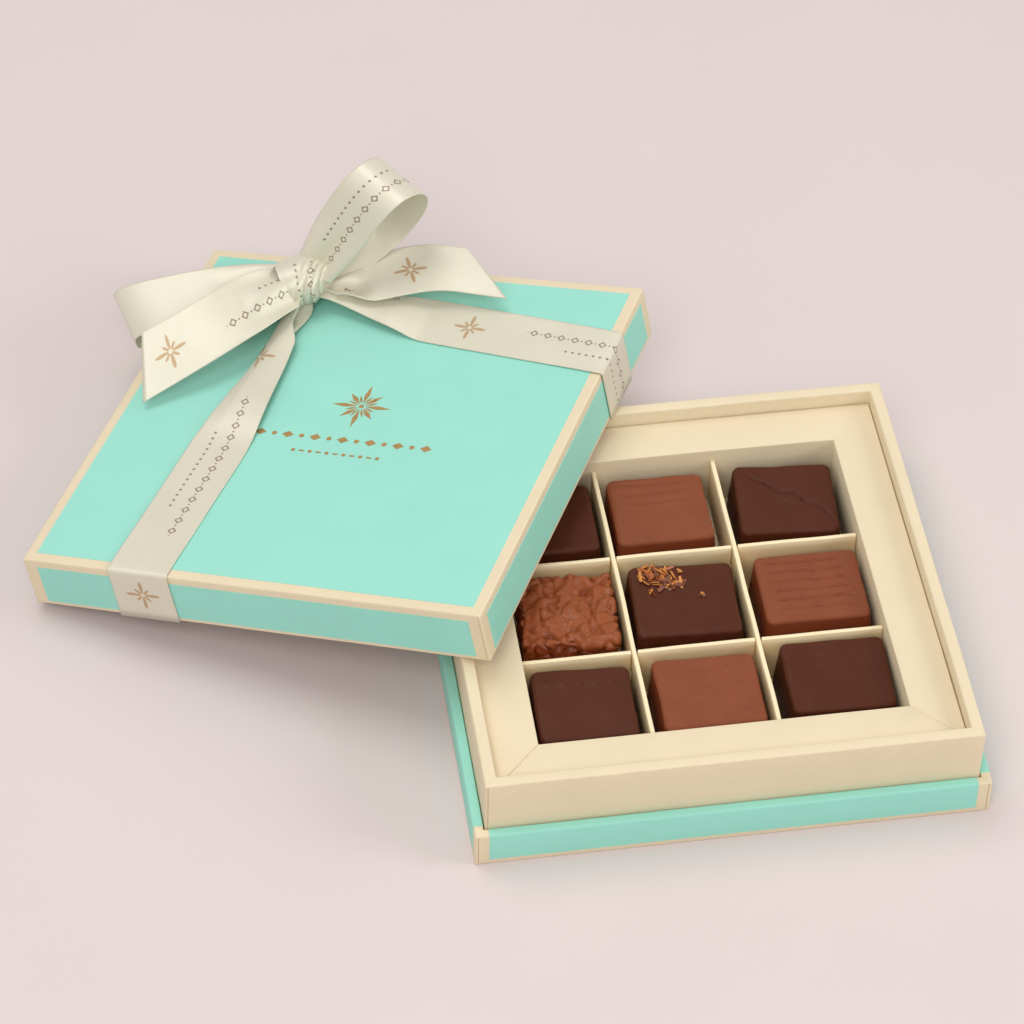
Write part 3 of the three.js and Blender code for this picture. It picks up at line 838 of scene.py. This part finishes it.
def add_shred(bm, draw, middle, base, longest=3.0):
    """One curled strip with a random length, turn and shade, lying at the given place."""
    length = 1.0 + (longest - 1.0) * draw() ** 1.1
    width = 0.4 + 0.6 * draw()
    curl = (draw() - 0.3) * 1.1
    grid = bmesh.ops.create_grid(bm, x_segments=6, y_segments=1, size=0.5)["verts"]
    for v in grid:
        x, y = v.co.x, v.co.y
        v.co = Vector((x * length, y * width * (1 - 1.6 * x * x), curl * (0.25 - x * x) * length * 0.45))
    lean = Matrix.Rotation((draw() - 0.35) * 1.0, 4, "Y") @ Matrix.Rotation((draw() - 0.5) * 1.6, 4, "X")
    turn = Matrix.Rotation(2 * math.pi * draw(), 4, "Z")
    bmesh.ops.transform(bm, matrix=Matrix.Translation((*middle, base)) @ turn @ lean, verts=grid)
    faces = {f for v in grid for f in v.link_faces}
    shade = int(3 * draw() ** 1.2)
    for f in faces:
        f.material_index = shade
    bmesh.ops.solidify(bm, geom=list(faces), thickness=SHRED_THICK)


# Each patch has its middle, its reach and its number of shreds.
PATCHES = [
    ((-6.2, 9.6), 4.8, 52), ((-3.2, 6.6), 3.4, 30), ((-6.0, 3.6), 2.6, 5), ((0.6, 10.6), 0.8, 2),
    ((4.6, 1.6), 0.9, 3),
]
shreds = bmesh.new()
draw = seeded(5)
for (x, y), reach, count in PATCHES:
    for _ in range(count):
        away, heading = reach * math.sqrt(draw()), 2 * math.pi * draw()
        at = (max(-12, min(12, x + 1.15 * away * math.cos(heading))),
              max(-12, min(12.4, y + 0.75 * away * math.sin(heading))))
        crowd = 0.8 * draw() if reach > 3 else 0.1
        add_shred(shreds, draw, at, SHRED_BASE + crowd, 4.2 if reach > 3 else 1.7)
toasts = [toast("toast_" + shade, colour) for shade, colour in TOASTS.items()]
shred_piece = finish_piece("toasted_shreds", shreds, toasts, (), centre_place)
print(sum(count for _, _, count in PATCHES), "shreds,", len(shred_piece.data.polygons), "faces")

# %% [markdown]
# ## The lid's own frame
#
# The lid and its ribbon are modelled lying flat, with the origin in the middle of the top face and z
# outwards, and are then set in place by one matrix: a turn about the vertical, then a lean about a level
# line. The height comes from the lid's lowest corner, which stands on the table.

# %% Lid frame
LID_SIDE = 133
LID_HEIGHT = 16.2
LID_WALL = 1.5
LID_TURN = math.radians(-28.1)
LID_LEAN = math.radians(11.95)
LID_LEAN_AXIS = math.radians(237.5)
LID_MIDDLE = (-86.4, 65.7)

lean_axis = Vector((math.cos(LID_LEAN_AXIS), math.sin(LID_LEAN_AXIS), 0))
lid_turned = Matrix.Rotation(LID_LEAN, 4, lean_axis) @ Matrix.Rotation(LID_TURN, 4, "Z")
half = LID_SIDE / 2
lowest_corner = min((lid_turned @ Vector((-half, y, -LID_HEIGHT))).z for y in (-half, half))
lid_rise = box_mm("lid")[0].z - lowest_corner
lid_place = Matrix.Translation((*LID_MIDDLE, lid_rise)) @ lid_turned
print("the lid's top face is centred", round(lid_rise, 1), "mm above the table")

# %% [markdown]
# ## Lid
#
# The lid is wrapped like the tray: cream first, then one mint panel on the top and one on each side, set
# in so that a cream band runs round every edge. It is the board shell turned over, cut along the edges of
# the panels, with the panels raised by the paper's thickness. A fine line beside one front corner is where
# the wrapping ends.

# %% Lid
TOP_BORDER = 3.0
SIDE_CORNER = 3.8
SIDE_BAND = 2.4
FOOT_BAND = 1.3

lid = board_shell(LID_SIDE, 0, LID_HEIGHT, LID_WALL, LID_WALL)
bmesh.ops.rotate(lid, cent=(0, 0, 0), matrix=Matrix.Rotation(math.pi, 3, "X"), verts=lid.verts)
for axis in "xy":
    edge_cuts = [s * (half - b) for s in (-1, 1) for b in (TOP_BORDER, SIDE_CORNER)]
    cut_at(lid, axis, edge_cuts + every(15, 4))
cut_at(lid, "z", [-SIDE_BAND, FOOT_BAND - LID_HEIGHT])
score_line(lid, "x", half - 0.8, "y", -half)


def on_top_panel(middle, normal):
    inside = max(abs(middle.x), abs(middle.y)) < half - TOP_BORDER
    return inside and normal.z > 0.9 and middle.z > -0.05


def on_side_panel(middle, normal):
    across = max(abs(middle.x), abs(middle.y))
    along = min(abs(middle.x), abs(middle.y))
    upright = abs(normal.z) < 0.1 and across > half - 0.05
    return upright and along < half - SIDE_CORNER and FOOT_BAND - LID_HEIGHT < middle.z < -SIDE_BAND


top_faces = lay_paper(lid, on_top_panel, 1)
side_faces = lay_paper(lid, on_side_panel, 1)
warp_board(lid, 5, 0.12)
finish_piece("lid_wrapped", lid, [cream_paper, mint_paper], ["lid"], lid_place)
print("lid with", top_faces, "mint faces on top and", side_faces, "on its sides")

# %% [markdown]
# ## Foil ornament
#
# The middle of the lid carries a small stamping in gold foil: here a plain star of slender lozenges over
# two rows of beads. Foil is a real thin layer, so each mark is a flat shape with a hair of thickness
# that stands just proud of the paper. A lozenge is a circle of four points, and a bead a circle of many.

# %% Foil ornament
gold_foil = new_material("gold_foil", (0.60, 0.36, 0.13), 0.34, Metallic=0.75)
worn = grain(gold_foil, 500, 4)
mix_colours(gold_foil, worn, (0.42, 0.25, 0.09), (0.74, 0.47, 0.19))
add_bump(gold_foil, [(worn, 1.0)], 0.03 * MM, 0.5)
FOIL_BASE = 0.13
FOIL_THICK = 0.05
ORNAMENT_X = 4.2
STAR = Vector((ORNAMENT_X, 6.6))
STAR_HUB = 1.5


def add_mark(bm, place, size, turn=0.0, points=4):
    """One flat mark of foil, size across and along, turned about its own middle."""
    made = bmesh.ops.create_circle(bm, cap_ends=True, segments=points, radius=0.5)["verts"]
    whole = made + pull_out(bm, made[0].link_faces[:], (0, 0, FOIL_THICK))
    spin = Matrix.Translation((*place, FOIL_BASE)) @ Matrix.Rotation(turn, 4, "Z")
    bmesh.ops.transform(bm, matrix=spin @ Matrix.Diagonal((*size, 1, 1)), verts=whole)


foil = bmesh.new()
for k in range(16):
    heading = math.pi * k / 8
    reach = 7.6 if k % 4 == 0 else 5.6 if k % 2 == 0 else 3.6
    centre = STAR + Vector((math.cos(heading), math.sin(heading))) * (1.1 + reach / 2)
    add_mark(foil, centre, (reach, 1.5 if k % 2 == 0 else 0.75), heading)
add_mark(foil, STAR, (STAR_HUB, STAR_HUB), 0, 20)
for k in range(-6, 7):
    size, points = ((3.4, 2.6), 4) if k % 2 == 0 else ((1.5, 1.5), 16)
    add_mark(foil, (ORNAMENT_X + 4.1 * k, -7.4), size, 0, points)
for k in range(-5, 6):
    add_mark(foil, (ORNAMENT_X + 2.5 * k, -13.2), (1.2, 1.2) if k % 2 else (1.8, 0.6), 0, 16)
bmesh.ops.recalc_face_normals(foil, faces=foil.faces)
foil_piece = finish_piece("foil_ornament", foil, [gold_foil], (), lid_place, sharp=30)
print("foil ornament of", len(foil_piece.data.polygons), "faces")

# %% [markdown]
# ## Satin ribbon
#
# Satin has a close weave that shines along its length more than across it and a slightly thicker edge.
# One face carries a printed ornament in brown and gold that repeats along the ribbon, the other is plain.
# The print has to follow the ribbon round every bend, so it reads the ribbon's own UV map: u runs across
# and v along, both counted in widths of the ribbon. The ornament is arithmetic on u and v: a chain of
# open diamonds, a row of beads and an eight-pointed star.

# %% Satin materials
SATIN = (0.78, 0.73, 0.59)
SATIN_SHADE = (0.67, 0.645, 0.505)
PRINT_BROWN = (0.20, 0.105, 0.05)
PRINT_GOLD = (0.47, 0.26, 0.085)
REPEAT = 5.4
INK_COVER = 0.82
THREADS_ACROSS = 70
PICKS_ALONG = 55


def between_values(value, low, high):
    return (value > low) * (value < high)


def beat(v, pitch):
    """Distance along the ribbon from the nearest of many evenly spaced places."""
    return abs((v / pitch).step("FRACT") - 0.5) * pitch


def bead_row(off, along, radius):
    return along * along + off * off < radius ** 2


def diamond_chain(off, along, pitch, reach):
    """Open diamonds along the ribbon with a bead between each two."""
    ring = between_values(along / reach + off / reach, 0.55, 1.0)
    return ring.step("MAXIMUM", bead_row(off, along - pitch / 2, 0.016))


def star(across, along, radius):
    """Eight slender rays, every other one shorter."""
    reach = (across * across + along * along).step("SQRT")
    wave = (across.step("ARCTAN2", along) * 4).step("COSINE")
    ray = abs(wave).step("POWER", 2.2) * (wave * 0.24 + 0.76)
    return (reach < ray * (0.78 * radius) + 0.16 * radius) * (reach > 0.13 * radius)


def satin_cloth(name, printed):
    material = new_material(
        name, SATIN, 0.36, Metallic=0.14, Specular_IOR_Level=1.0, Sheen_Weight=0.12, Anisotropic=0.75,
    )
    weave = add_node(material, "Tangent", direction_type="UV_MAP", uv_map="UVMap")
    connect(material, weave.outputs[0], "Tangent")
    uv = add_node(material, "SeparateXYZ", {0: add_node(material, "TexCoord").outputs["UV"]})
    u, along = (Value(material, uv.outputs[axis]) for axis in "XY")
    colour = mix_colours(material, grain(material, 60, 3), SATIN_SHADE, SATIN)
    if printed:
        v = along.step("MODULO", REPEAT)
        chain = diamond_chain(abs(u - 0.63), beat(v, 0.24), 0.24, 0.075) * between_values(v, 0.24, 3.36)
        beads = bead_row(abs(u - 0.34), beat(v, 0.12), 0.024) * between_values(v, 0.84, 2.64)
        colour = mix_colours(material, chain.step("MAXIMUM", beads) * INK_COVER, colour, PRINT_BROWN)
        mix_colours(material, star(u - 0.5, v - 4.35, 0.3) * INK_COVER, colour, PRINT_GOLD)
    threads = (u * (2 * math.pi * THREADS_ACROSS)).step("SINE")
    picks = (along * (2 * math.pi * PICKS_ALONG)).step("SINE")
    selvedge = abs(u - 0.5) > 0.47
    add_bump(material, [(threads, 0.35), (picks, 0.2), (selvedge, 1.2)], 0.04 * MM, 0.6)
    return material


printed_satin = satin_cloth("printed_satin", True)
plain_satin = satin_cloth("plain_satin", False)
print("satin ribbon with a print that repeats every", REPEAT, "widths")

# %% [markdown]
# ## Ribbon strips
#
# A ribbon is a strip that is carried along a line of stations. Each station has a middle point, the way
# across the ribbon and the width it takes up there. Where the width is less than the ribbon's own, the
# cloth isn't lost: either it folds into pleats just deep enough to use it up, or one edge is folded under.
# A curve with a bevel could make a flat band, but it can't gather. A flat grid has its points moved to the
# stations, keeps its UV map, and gets its thickness from a solidify modifier, with the plain face inside.

# %% Ribbon helpers
RIBBON_WIDTH = 17.5
RIBBON_THICK = 0.3
RIBBON_LIFT = 0.5
KNOT = Vector((-26.6, 47.4, 8.8))
KNOT_RADII = Vector((9.6, 8.0, 6.6))
BOW_HEADING = math.radians(29)
STRIP_CELLS = 44
FOLD_RADIUS = 0.5
HIDDEN_BY = 1.3
RIPPLE = 0.12


def mix(a, b, t):
    return a + (b - a) * t


def pleat_depth(width, pleats):
    """How deep pleats have to be for the full ribbon to fit into the given width."""
    spare = max(0.0, RIBBON_WIDTH / width - 1)
    return width * math.sqrt(spare) / (math.pi * pleats)


def pleated(s, width, pleats, phase):
    """Place across and height of a point of the strip, s from -0.5 to 0.5, where the ribbon is pleated."""
    return s * width, pleat_depth(width, pleats) * math.cos(2 * math.pi * pleats * s + phase)


def folded_under(s, width):
    """The same where the spare cloth is folded under at the edge s = -0.5, back and forth if it is long."""
    arc = (0.5 - s) * RIBBON_WIDTH
    r = FOLD_RADIUS
    run = width - r * smooth(RIBBON_WIDTH - width, 0, 1.5)
    if arc <= run:
        return width / 2 - arc, 0.0
    arc -= run
    level, centre, outwards = 0, run, 1
    layer = width - 2 * r - HIDDEN_BY
    while arc > math.pi * r:
        arc -= math.pi * r
        level += 1
        if arc <= layer:
            return width / 2 - (centre - outwards * arc), -2 * r * level
        arc -= layer
        centre -= outwards * layer
        outwards = -outwards
    turned = arc / r
    return width / 2 - (centre + outwards * r * math.sin(turned)), -2 * r * level - r * (1 - math.cos(turned))


def ribbon_strip(name, stations, nodes, profile, printed_side, start=0.0):
    """profile(s, width) shapes the section, printed_side is where the first station's print faces, and
    start is where along the pattern the strip begins, in widths of the ribbon."""
    last = len(stations) - 1
    ends = [(stations[max(i - 1, 0)][0], stations[min(i + 1, last)][0]) for i in range(last + 1)]
    tangents = [(after - before).normalized() for before, after in ends]
    side = 1 if tangents[0].cross(stations[0][1]).dot(printed_side) > 0 else -1
    lengths = [start]
    for (a, _, _), (b, _, _) in zip(stations, stations[1:]):
        lengths.append(lengths[-1] + (b - a).length / RIBBON_WIDTH)
    bm = bmesh.new()
    uv_layer = bm.loops.layers.uv.new("UVMap")
    bmesh.ops.create_grid(bm, x_segments=STRIP_CELLS, y_segments=last, size=0.5)
    for f in bm.faces:
        for loop in f.loops:
            at = loop.vert.co
            loop[uv_layer].uv = (at.x + 0.5, lengths[round((at.y + 0.5) * last)])
    for v in bm.verts:
        i = round((v.co.y + 0.5) * last)
        middle, across, width = stations[i]
        up = tangents[i].cross(across).normalized() * side
        along, height = profile(v.co.x, width)
        ripple = RIPPLE * noise.noise(Vector((v.co.x * 2.5, lengths[i] * 1.3, start)))
        v.co = middle + across * along + up * (height + ripple)
    if side > 0:
        bmesh.ops.reverse_faces(bm, faces=bm.faces)
    piece = finish_piece(name, bm, [printed_satin, plain_satin], nodes, lid_place, sharp=80)
    thick = piece.modifiers.new("thickness", "SOLIDIFY")
    thick.thickness = RIBBON_THICK * MM
    thick.offset = 0
    thick.material_offset = 1
    thick.material_offset_rim = 1
    print(name, "is", round((lengths[-1] - start) * RIBBON_WIDTH), "mm long")


print("ribbon", RIBBON_WIDTH, "mm wide and", RIBBON_THICK, "mm thick")

# %% [markdown]
# ## Arms of the ribbon
#
# Four arms come up the lid's sides, go over its edge and run along the top to the knot. They stay full
# width for half the way and then narrow, because one edge is folded under more and more. The folded side
# also tips down a little, which draws a soft crease along the arm. Near the knot the arms lift off the lid,
# and the front arm's free edge is drawn in.

# %% Arms
ARM_X = -31.9
ARM_Y = 38
ARM_ROOT_WIDTH = 6.5
ARM_RISE_FROM = 0.72
ARM_RISE = 3.4
BEND = 1.0
CREASE_AT = 0.2
CREASE_TIP = 0.30


def arm_profile(hand, taken_in):
    """taken_in is how far the free edge is drawn back near the knot."""
    def profile(s, width):
        along, height = folded_under(s * hand, width)
        drawn = taken_in * smooth(RIBBON_WIDTH - width, 8.8, 10.4)
        along = (along + width / 2) * (1 - drawn / width) - width / 2
        spare = smooth(RIBBON_WIDTH - width, 0, 4)
        past = max(0.0, -along - CREASE_AT * width)
        arch = 0.5 * spare * (1 - (2 * along / width) ** 2)
        tip = CREASE_TIP * (0.5 - CREASE_AT) * width - CREASE_TIP * past
        return along * hand, height + arch + spare * tip
    return profile


def arm_stations(outward, side, offset, gather_from, steps=60):
    """From the lid's lower edge up its side, round the bend and along the top to the knot."""
    face = half + RIBBON_LIFT

    def place(far, height):
        return outward * far + side * offset + Vector((0, 0, height))

    stations = []
    for k in range(7):
        height = mix(0.05 - LID_HEIGHT, RIBBON_LIFT - BEND, k / 6)
        stations.append((place(face, height), side, RIBBON_WIDTH))
    for degrees in (15, 30, 45, 60, 75, 90):
        turned = math.radians(degrees)
        inset, drop = BEND * (1 - math.cos(turned)), BEND * (1 - math.sin(turned))
        stations.append((place(face - inset, RIBBON_LIFT - drop), side, RIBBON_WIDTH))
    edge = place(face - BEND, RIBBON_LIFT)
    root = KNOT + outward * (ARM_ROOT_WIDTH / 2 - 1)
    root.z = RIBBON_LIFT
    for k in range(1, steps + 1):
        t = k / steps
        at = edge.lerp(root, t)
        width = mix(RIBBON_WIDTH, ARM_ROOT_WIDTH, smooth(t, gather_from, 1))
        at.z += ARM_RISE * smooth(t, ARM_RISE_FROM, 1) + 2 * FOLD_RADIUS * smooth(RIBBON_WIDTH - width, 0, 2)
        stations.append((at, side, width))
    return stations


ahead_x, ahead_y = Vector((1, 0, 0)), Vector((0, 1, 0))
arms = {
    "front": (-ahead_y, ahead_x, ARM_X, 1, 0.4, 3.85, 3.3),
    "back": (ahead_y, ahead_x, ARM_X, 1, 0.4, 1.0, 0),
    "left": (-ahead_x, ahead_y, ARM_Y, -1, 0.4, 2.0, 0),
    "right": (ahead_x, ahead_y, ARM_Y, -1, 0.58, 0.9, 0),
}
for name, (outward, side, offset, hand, gather_from, start, taken_in) in arms.items():
    stations = arm_stations(outward, side, offset, gather_from)
    section = arm_profile(hand, taken_in)
    ribbon_strip("arm_" + name, stations, ["ribbon_arm_" + name], section, outward, start)

# %% [markdown]
# ## Loops and tails of the bow
#
# A loop goes out from the knot, turns over and comes back behind itself: seen from its side it is a
# teardrop. A tail leaves the knot and ends in a slanting cut. Both are strips along a line, so the same
# helper makes them, with the way across the ribbon turning slowly from station to station. Their roots
# run on into the knot and narrow there.

# %% Loops and tails
LOOP_START = 0.5
LOOP_FULLNESS = 1.45
ROOT_STEPS = 8
BOW_PLEATS = 1.5


def loop_stations(along, returning, reach, opening, bend, across, root_width, roundness=1.0, steps=96):
    """across holds the way across at the root, at the far end and at the root again. A roundness below 1
    gives the far end a fuller roll."""
    stations = []
    for i in range(steps + 1):
        s = i / steps
        t = LOOP_START + 2 * (math.pi - LOOP_START) * s
        far = reach * (1 - math.cos(t)) / 2
        open_by = math.copysign(abs(math.sin(t)) ** roundness, math.sin(t))
        off = -(opening / 2) * LOOP_FULLNESS * open_by * math.sin(t / 2) ** 1.5
        shift = bend * math.sin(math.pi * far / reach)
        at = KNOT + along * far + returning * (off + shift)
        way = across[1].lerp(across[0] if s < 0.5 else across[2], abs(1 - 2 * s)).normalized()
        width = mix(root_width, RIBBON_WIDTH, smooth(math.sin(math.pi * s), 0, 0.6))
        stations.append((at, way, width))
    return stations


def curve_point(points, t):
    """A smooth curve through the points, by the Catmull and Rom rule."""
    spans = len(points) - 1
    i = min(int(t * spans), spans - 1)
    f = t * spans - i
    p1, p2 = points[i], points[i + 1]
    p0 = points[i - 1] if i else p1 * 2 - p2
    p3 = points[i + 2] if i + 2 <= spans else p2 * 2 - p1
    bowed = (p0 * 2 - p1 * 5 + p2 * 4 - p3) * f ** 2 + (p1 * 3 - p0 - p2 * 3 + p3) * f ** 3
    return (p1 * 2 + (p2 - p0) * f + bowed) / 2


def tail_stations(through, across, slant, root_width, inside, open_by, steps=56):
    points = [Vector(p) for p in through]
    stations = []
    for i in range(ROOT_STEPS):
        f = i / ROOT_STEPS
        way = Vector(across[0]).normalized()
        stations.append((Vector(inside).lerp(points[0], f), way, root_width * mix(0.45, 1, f * f)))
    for i in range(steps + 1):
        t = i / steps
        way = Vector(across[0]).lerp(Vector(across[1]), t).normalized()
        width = mix(root_width, RIBBON_WIDTH, smooth(t, 0, open_by))
        stations.append((curve_point(points, t), way, width))
    tangent = (stations[-1][0] - stations[-2][0]).normalized()
    for i in range(1, 11):
        at, way, width = stations[-i]
        stations[-i] = (at, way + tangent * slant * (11 - i) / 10, width)
    return stations


left_returning = Vector((-0.15, 0.3, -0.94)).normalized()
right_returning = Vector((0.07, 0.75, -0.62)).normalized()
left_loop = loop_stations(
    Vector((-0.9, -0.47, -0.01)).normalized(), left_returning, 53, 9, 0,
    [Vector((0.5, -0.8, -0.25)), Vector((0.62, -0.7, -0.3)), Vector((0.45, -0.88, -0.1))], 12, 0.62,
)
right_loop = loop_stations(
    Vector((0.63, 0.41, 0.6)).normalized(), right_returning, 41, 20, 2.4,
    [Vector((0.9, -0.35, -0.15)), Vector((0.85, -0.37, -0.36)), Vector((0.75, -0.45, -0.4))], 14.5,
)
left_tail = tail_stations(
    [(-29.5, 41, 11.5), (-35.5, 30, 13.5), (-44.5, 17, 13), (-59.5, 3.5, 8.8)],
    [(0.6, -0.65, -0.45), (0.5, -0.58, -0.62)], 0.4, 15, (-27.5, 46, 10.5), 0.4,
)
right_tail = tail_stations(
    [(-19, 47.5, 6.0), (-9, 51.5, 7.4), (7, 57, 8.6), (24, 57.8, 7.9)],
    [(0.5, -0.8, -0.1), (0.5, -0.78, -0.27)], 0.4, 8.5, (-24.5, 46.9, 6.8), 0.32,
)
skyward = Vector((0, 0, 1))
bow = {
    "loop_left": (left_loop, 0.3, left_returning, 4.9),
    "loop_right": (right_loop, 2.6, -right_returning, 0.2),
    "tail_left": (left_tail, 0.0, skyward, 1.75),
    "tail_right": (right_tail, 1.2, skyward, 2.75),
}
for name, (stations, phase, printed_side, start) in bow.items():
    ribbon_strip(
        "satin_" + name, stations, ["bow_" + name], lambda s, w: pleated(s, w, BOW_PLEATS, phase),
        printed_side, start,
    )

# %% [markdown]
# ## Loose fold under the knot
#
# Where the front arm goes under the knot, its free edge is drawn back and the cloth beside it hangs loose: a
# small fold that bulges out over the lid and slips in under the arm. It could be part of the arm's strip,
# but that would need a strip that doubles back on itself. A short strip between two curved edges, one
# tucked under the arm and one out in the open, is enough.

# %% Loose fold
FOLD_INNER = [(-27.6, 32.2, 2.2), (-29.2, 35, 1.6), (-29.8, 38, 1.8), (-29.4, 41, 2.6), (-28.6, 44, 3.4)]
FOLD_OUTER = [
    (-26.2, 31.8, 1.8), (-25.5, 36.5, 1.0), (-24.9, 40.1, 0.95), (-24.9, 42.6, 1.5), (-25.4, 45, 3.2),
]
FOLD_STEPS = 28
FOLD_ARCH = 0.5
FOLD_BLANK_FROM = 4.7

fold_edges = [[Vector(p) for p in points] for points in (FOLD_INNER, FOLD_OUTER)]
fold_stations = []
for i in range(FOLD_STEPS + 1):
    inner, outer = (curve_point(edge, i / FOLD_STEPS) for edge in fold_edges)
    fold_stations.append(((inner + outer) / 2, (outer - inner).normalized(), (outer - inner).length))
ribbon_strip(
    "satin_loose_fold", fold_stations, (), lambda s, w: (s * w, FOLD_ARCH * (1 - 4 * s * s)),
    skyward, FOLD_BLANK_FROM,
)

# %% [markdown]
# ## Knot
#
# The knot is a short piece of ribbon drawn tight round the middle of the bow. It is an open tube round the
# bow's length. Its left edge stays smooth and stands free of the tail under it. Towards the right it is
# gathered in sharp folds, and at the front it is drawn narrow. An inner cushion stands for the gathered
# cloth inside. The band starts as a cone with equal ends and no caps.

# %% Knot
BAND_CUTS = 34
BAND_POINTS = 96
BAND_HALF = 8.2
BAND_PRINT_FROM = 2.2
BAND_RADIUS = 7.5
BAND_THICK = 0.35
# Each crease has its place along the band, its depth, its width and its slant.
CREASES = (
    (0.04, 0.7, 0.035, 0.14), (0.20, 1.0, 0.03, 0.10), (0.36, 0.8, 0.03, 0.03), (-0.16, 0.35, 0.05, 0.16),
)
bow_x = Vector((math.cos(BOW_HEADING), math.sin(BOW_HEADING), 0))
bow_y = Vector((-math.sin(BOW_HEADING), math.cos(BOW_HEADING), 0))

knot = bmesh.new()
knot_uv = knot.loops.layers.uv.new("UVMap")
bmesh.ops.create_cone(knot, cap_ends=False, segments=BAND_POINTS, radius1=1, radius2=1, depth=1)
lengthwise = [e for e in knot.edges if abs(e.verts[0].co.z - e.verts[1].co.z) > 0.5]
bmesh.ops.subdivide_edges(knot, edges=lengthwise, cuts=BAND_CUTS)
for f in knot.faces:
    angles = [math.atan2(loop.vert.co.x, -loop.vert.co.y) for loop in f.loops]
    wrap = max(angles) - min(angles) > math.pi
    for loop, angle in zip(f.loops, angles):
        around = angle + 2 * math.pi if wrap and angle < 0 else angle
        loop[knot_uv].uv = (loop.vert.co.z + 0.5, BAND_PRINT_FROM + around * BAND_RADIUS / RIBBON_WIDTH)
for v in knot.verts:
    around = math.atan2(v.co.x, -v.co.y)
    s = v.co.z
    top = 0.5 - 0.5 * math.cos(around)
    front = max(0.0, -math.sin(around))
    rolled = 1 - 0.07 * smooth(-s, 0.3, 0.5) - 0.38 * smooth(s, 0.12, 0.5)
    lean = math.sin(around) - math.cos(around)
    crease = sum(d * math.exp(-((s - at - tilt * lean) / w) ** 2) for at, d, w, tilt in CREASES)
    ridge = 0.25 * math.cos(2 * math.pi * 3 * s + 2 * math.sin(around)) * smooth(s, -0.25, 0.2)
    reach_y = (KNOT_RADII.y - 0.5) * rolled + ridge - crease
    reach_z = (KNOT_RADII.z - 0.4) * rolled + ridge - crease
    along = s * 2 * BAND_HALF * (0.74 + 0.26 * top - 0.24 * front) + 1.2 * math.sin(around)
    v.co = KNOT + bow_x * along + bow_y * reach_y * math.sin(around)
    v.co.z -= reach_z * math.cos(around)
bmesh.ops.recalc_face_normals(knot, faces=knot.faces)
bmesh.ops.solidify(knot, geom=knot.faces[:], thickness=BAND_THICK)
cushion = bmesh.ops.create_uvsphere(knot, u_segments=48, v_segments=24, radius=1)["verts"]
for v in cushion:
    gathered = 1 + 0.09 * math.cos(9 * math.atan2(v.co.y, v.co.z))
    size = Vector((KNOT_RADII.x - 1.6, (KNOT_RADII.y - 2.9) * gathered, (KNOT_RADII.z - 2.3) * gathered))
    v.co = KNOT + bow_x * v.co.x * size.x + bow_y * v.co.y * size.y + Vector((0, 0, v.co.z * size.z))
knot_piece = finish_piece("satin_knot", knot, [printed_satin], ["bow_knot"], lid_place, sharp=80)
print("knot of", len(knot_piece.data.polygons), "faces")

# %% [markdown]
# ## Floor
#
# The floor is one large plane at the height of the tray's foot, with only a faint drift in its colour.

# %% Floor
floor_material = new_material("floor", FLOOR_COLOUR, 0.85)
floor_drift = grain(floor_material, 14, 3)
mix_colours(floor_material, floor_drift, shaded(FLOOR_COLOUR, 0.97), shaded(FLOOR_COLOUR, 1.02))
floor_bm = bmesh.new()
bmesh.ops.create_grid(floor_bm, x_segments=1, y_segments=1, size=3)
floor_mesh = bpy.data.meshes.new("floor")
floor_bm.to_mesh(floor_mesh)
floor_bm.free()
floor_mesh.materials.append(floor_material)
floor = bpy.data.objects.new("floor", floor_mesh)
bpy.context.scene.collection.objects.link(floor)
print("floor is in place")
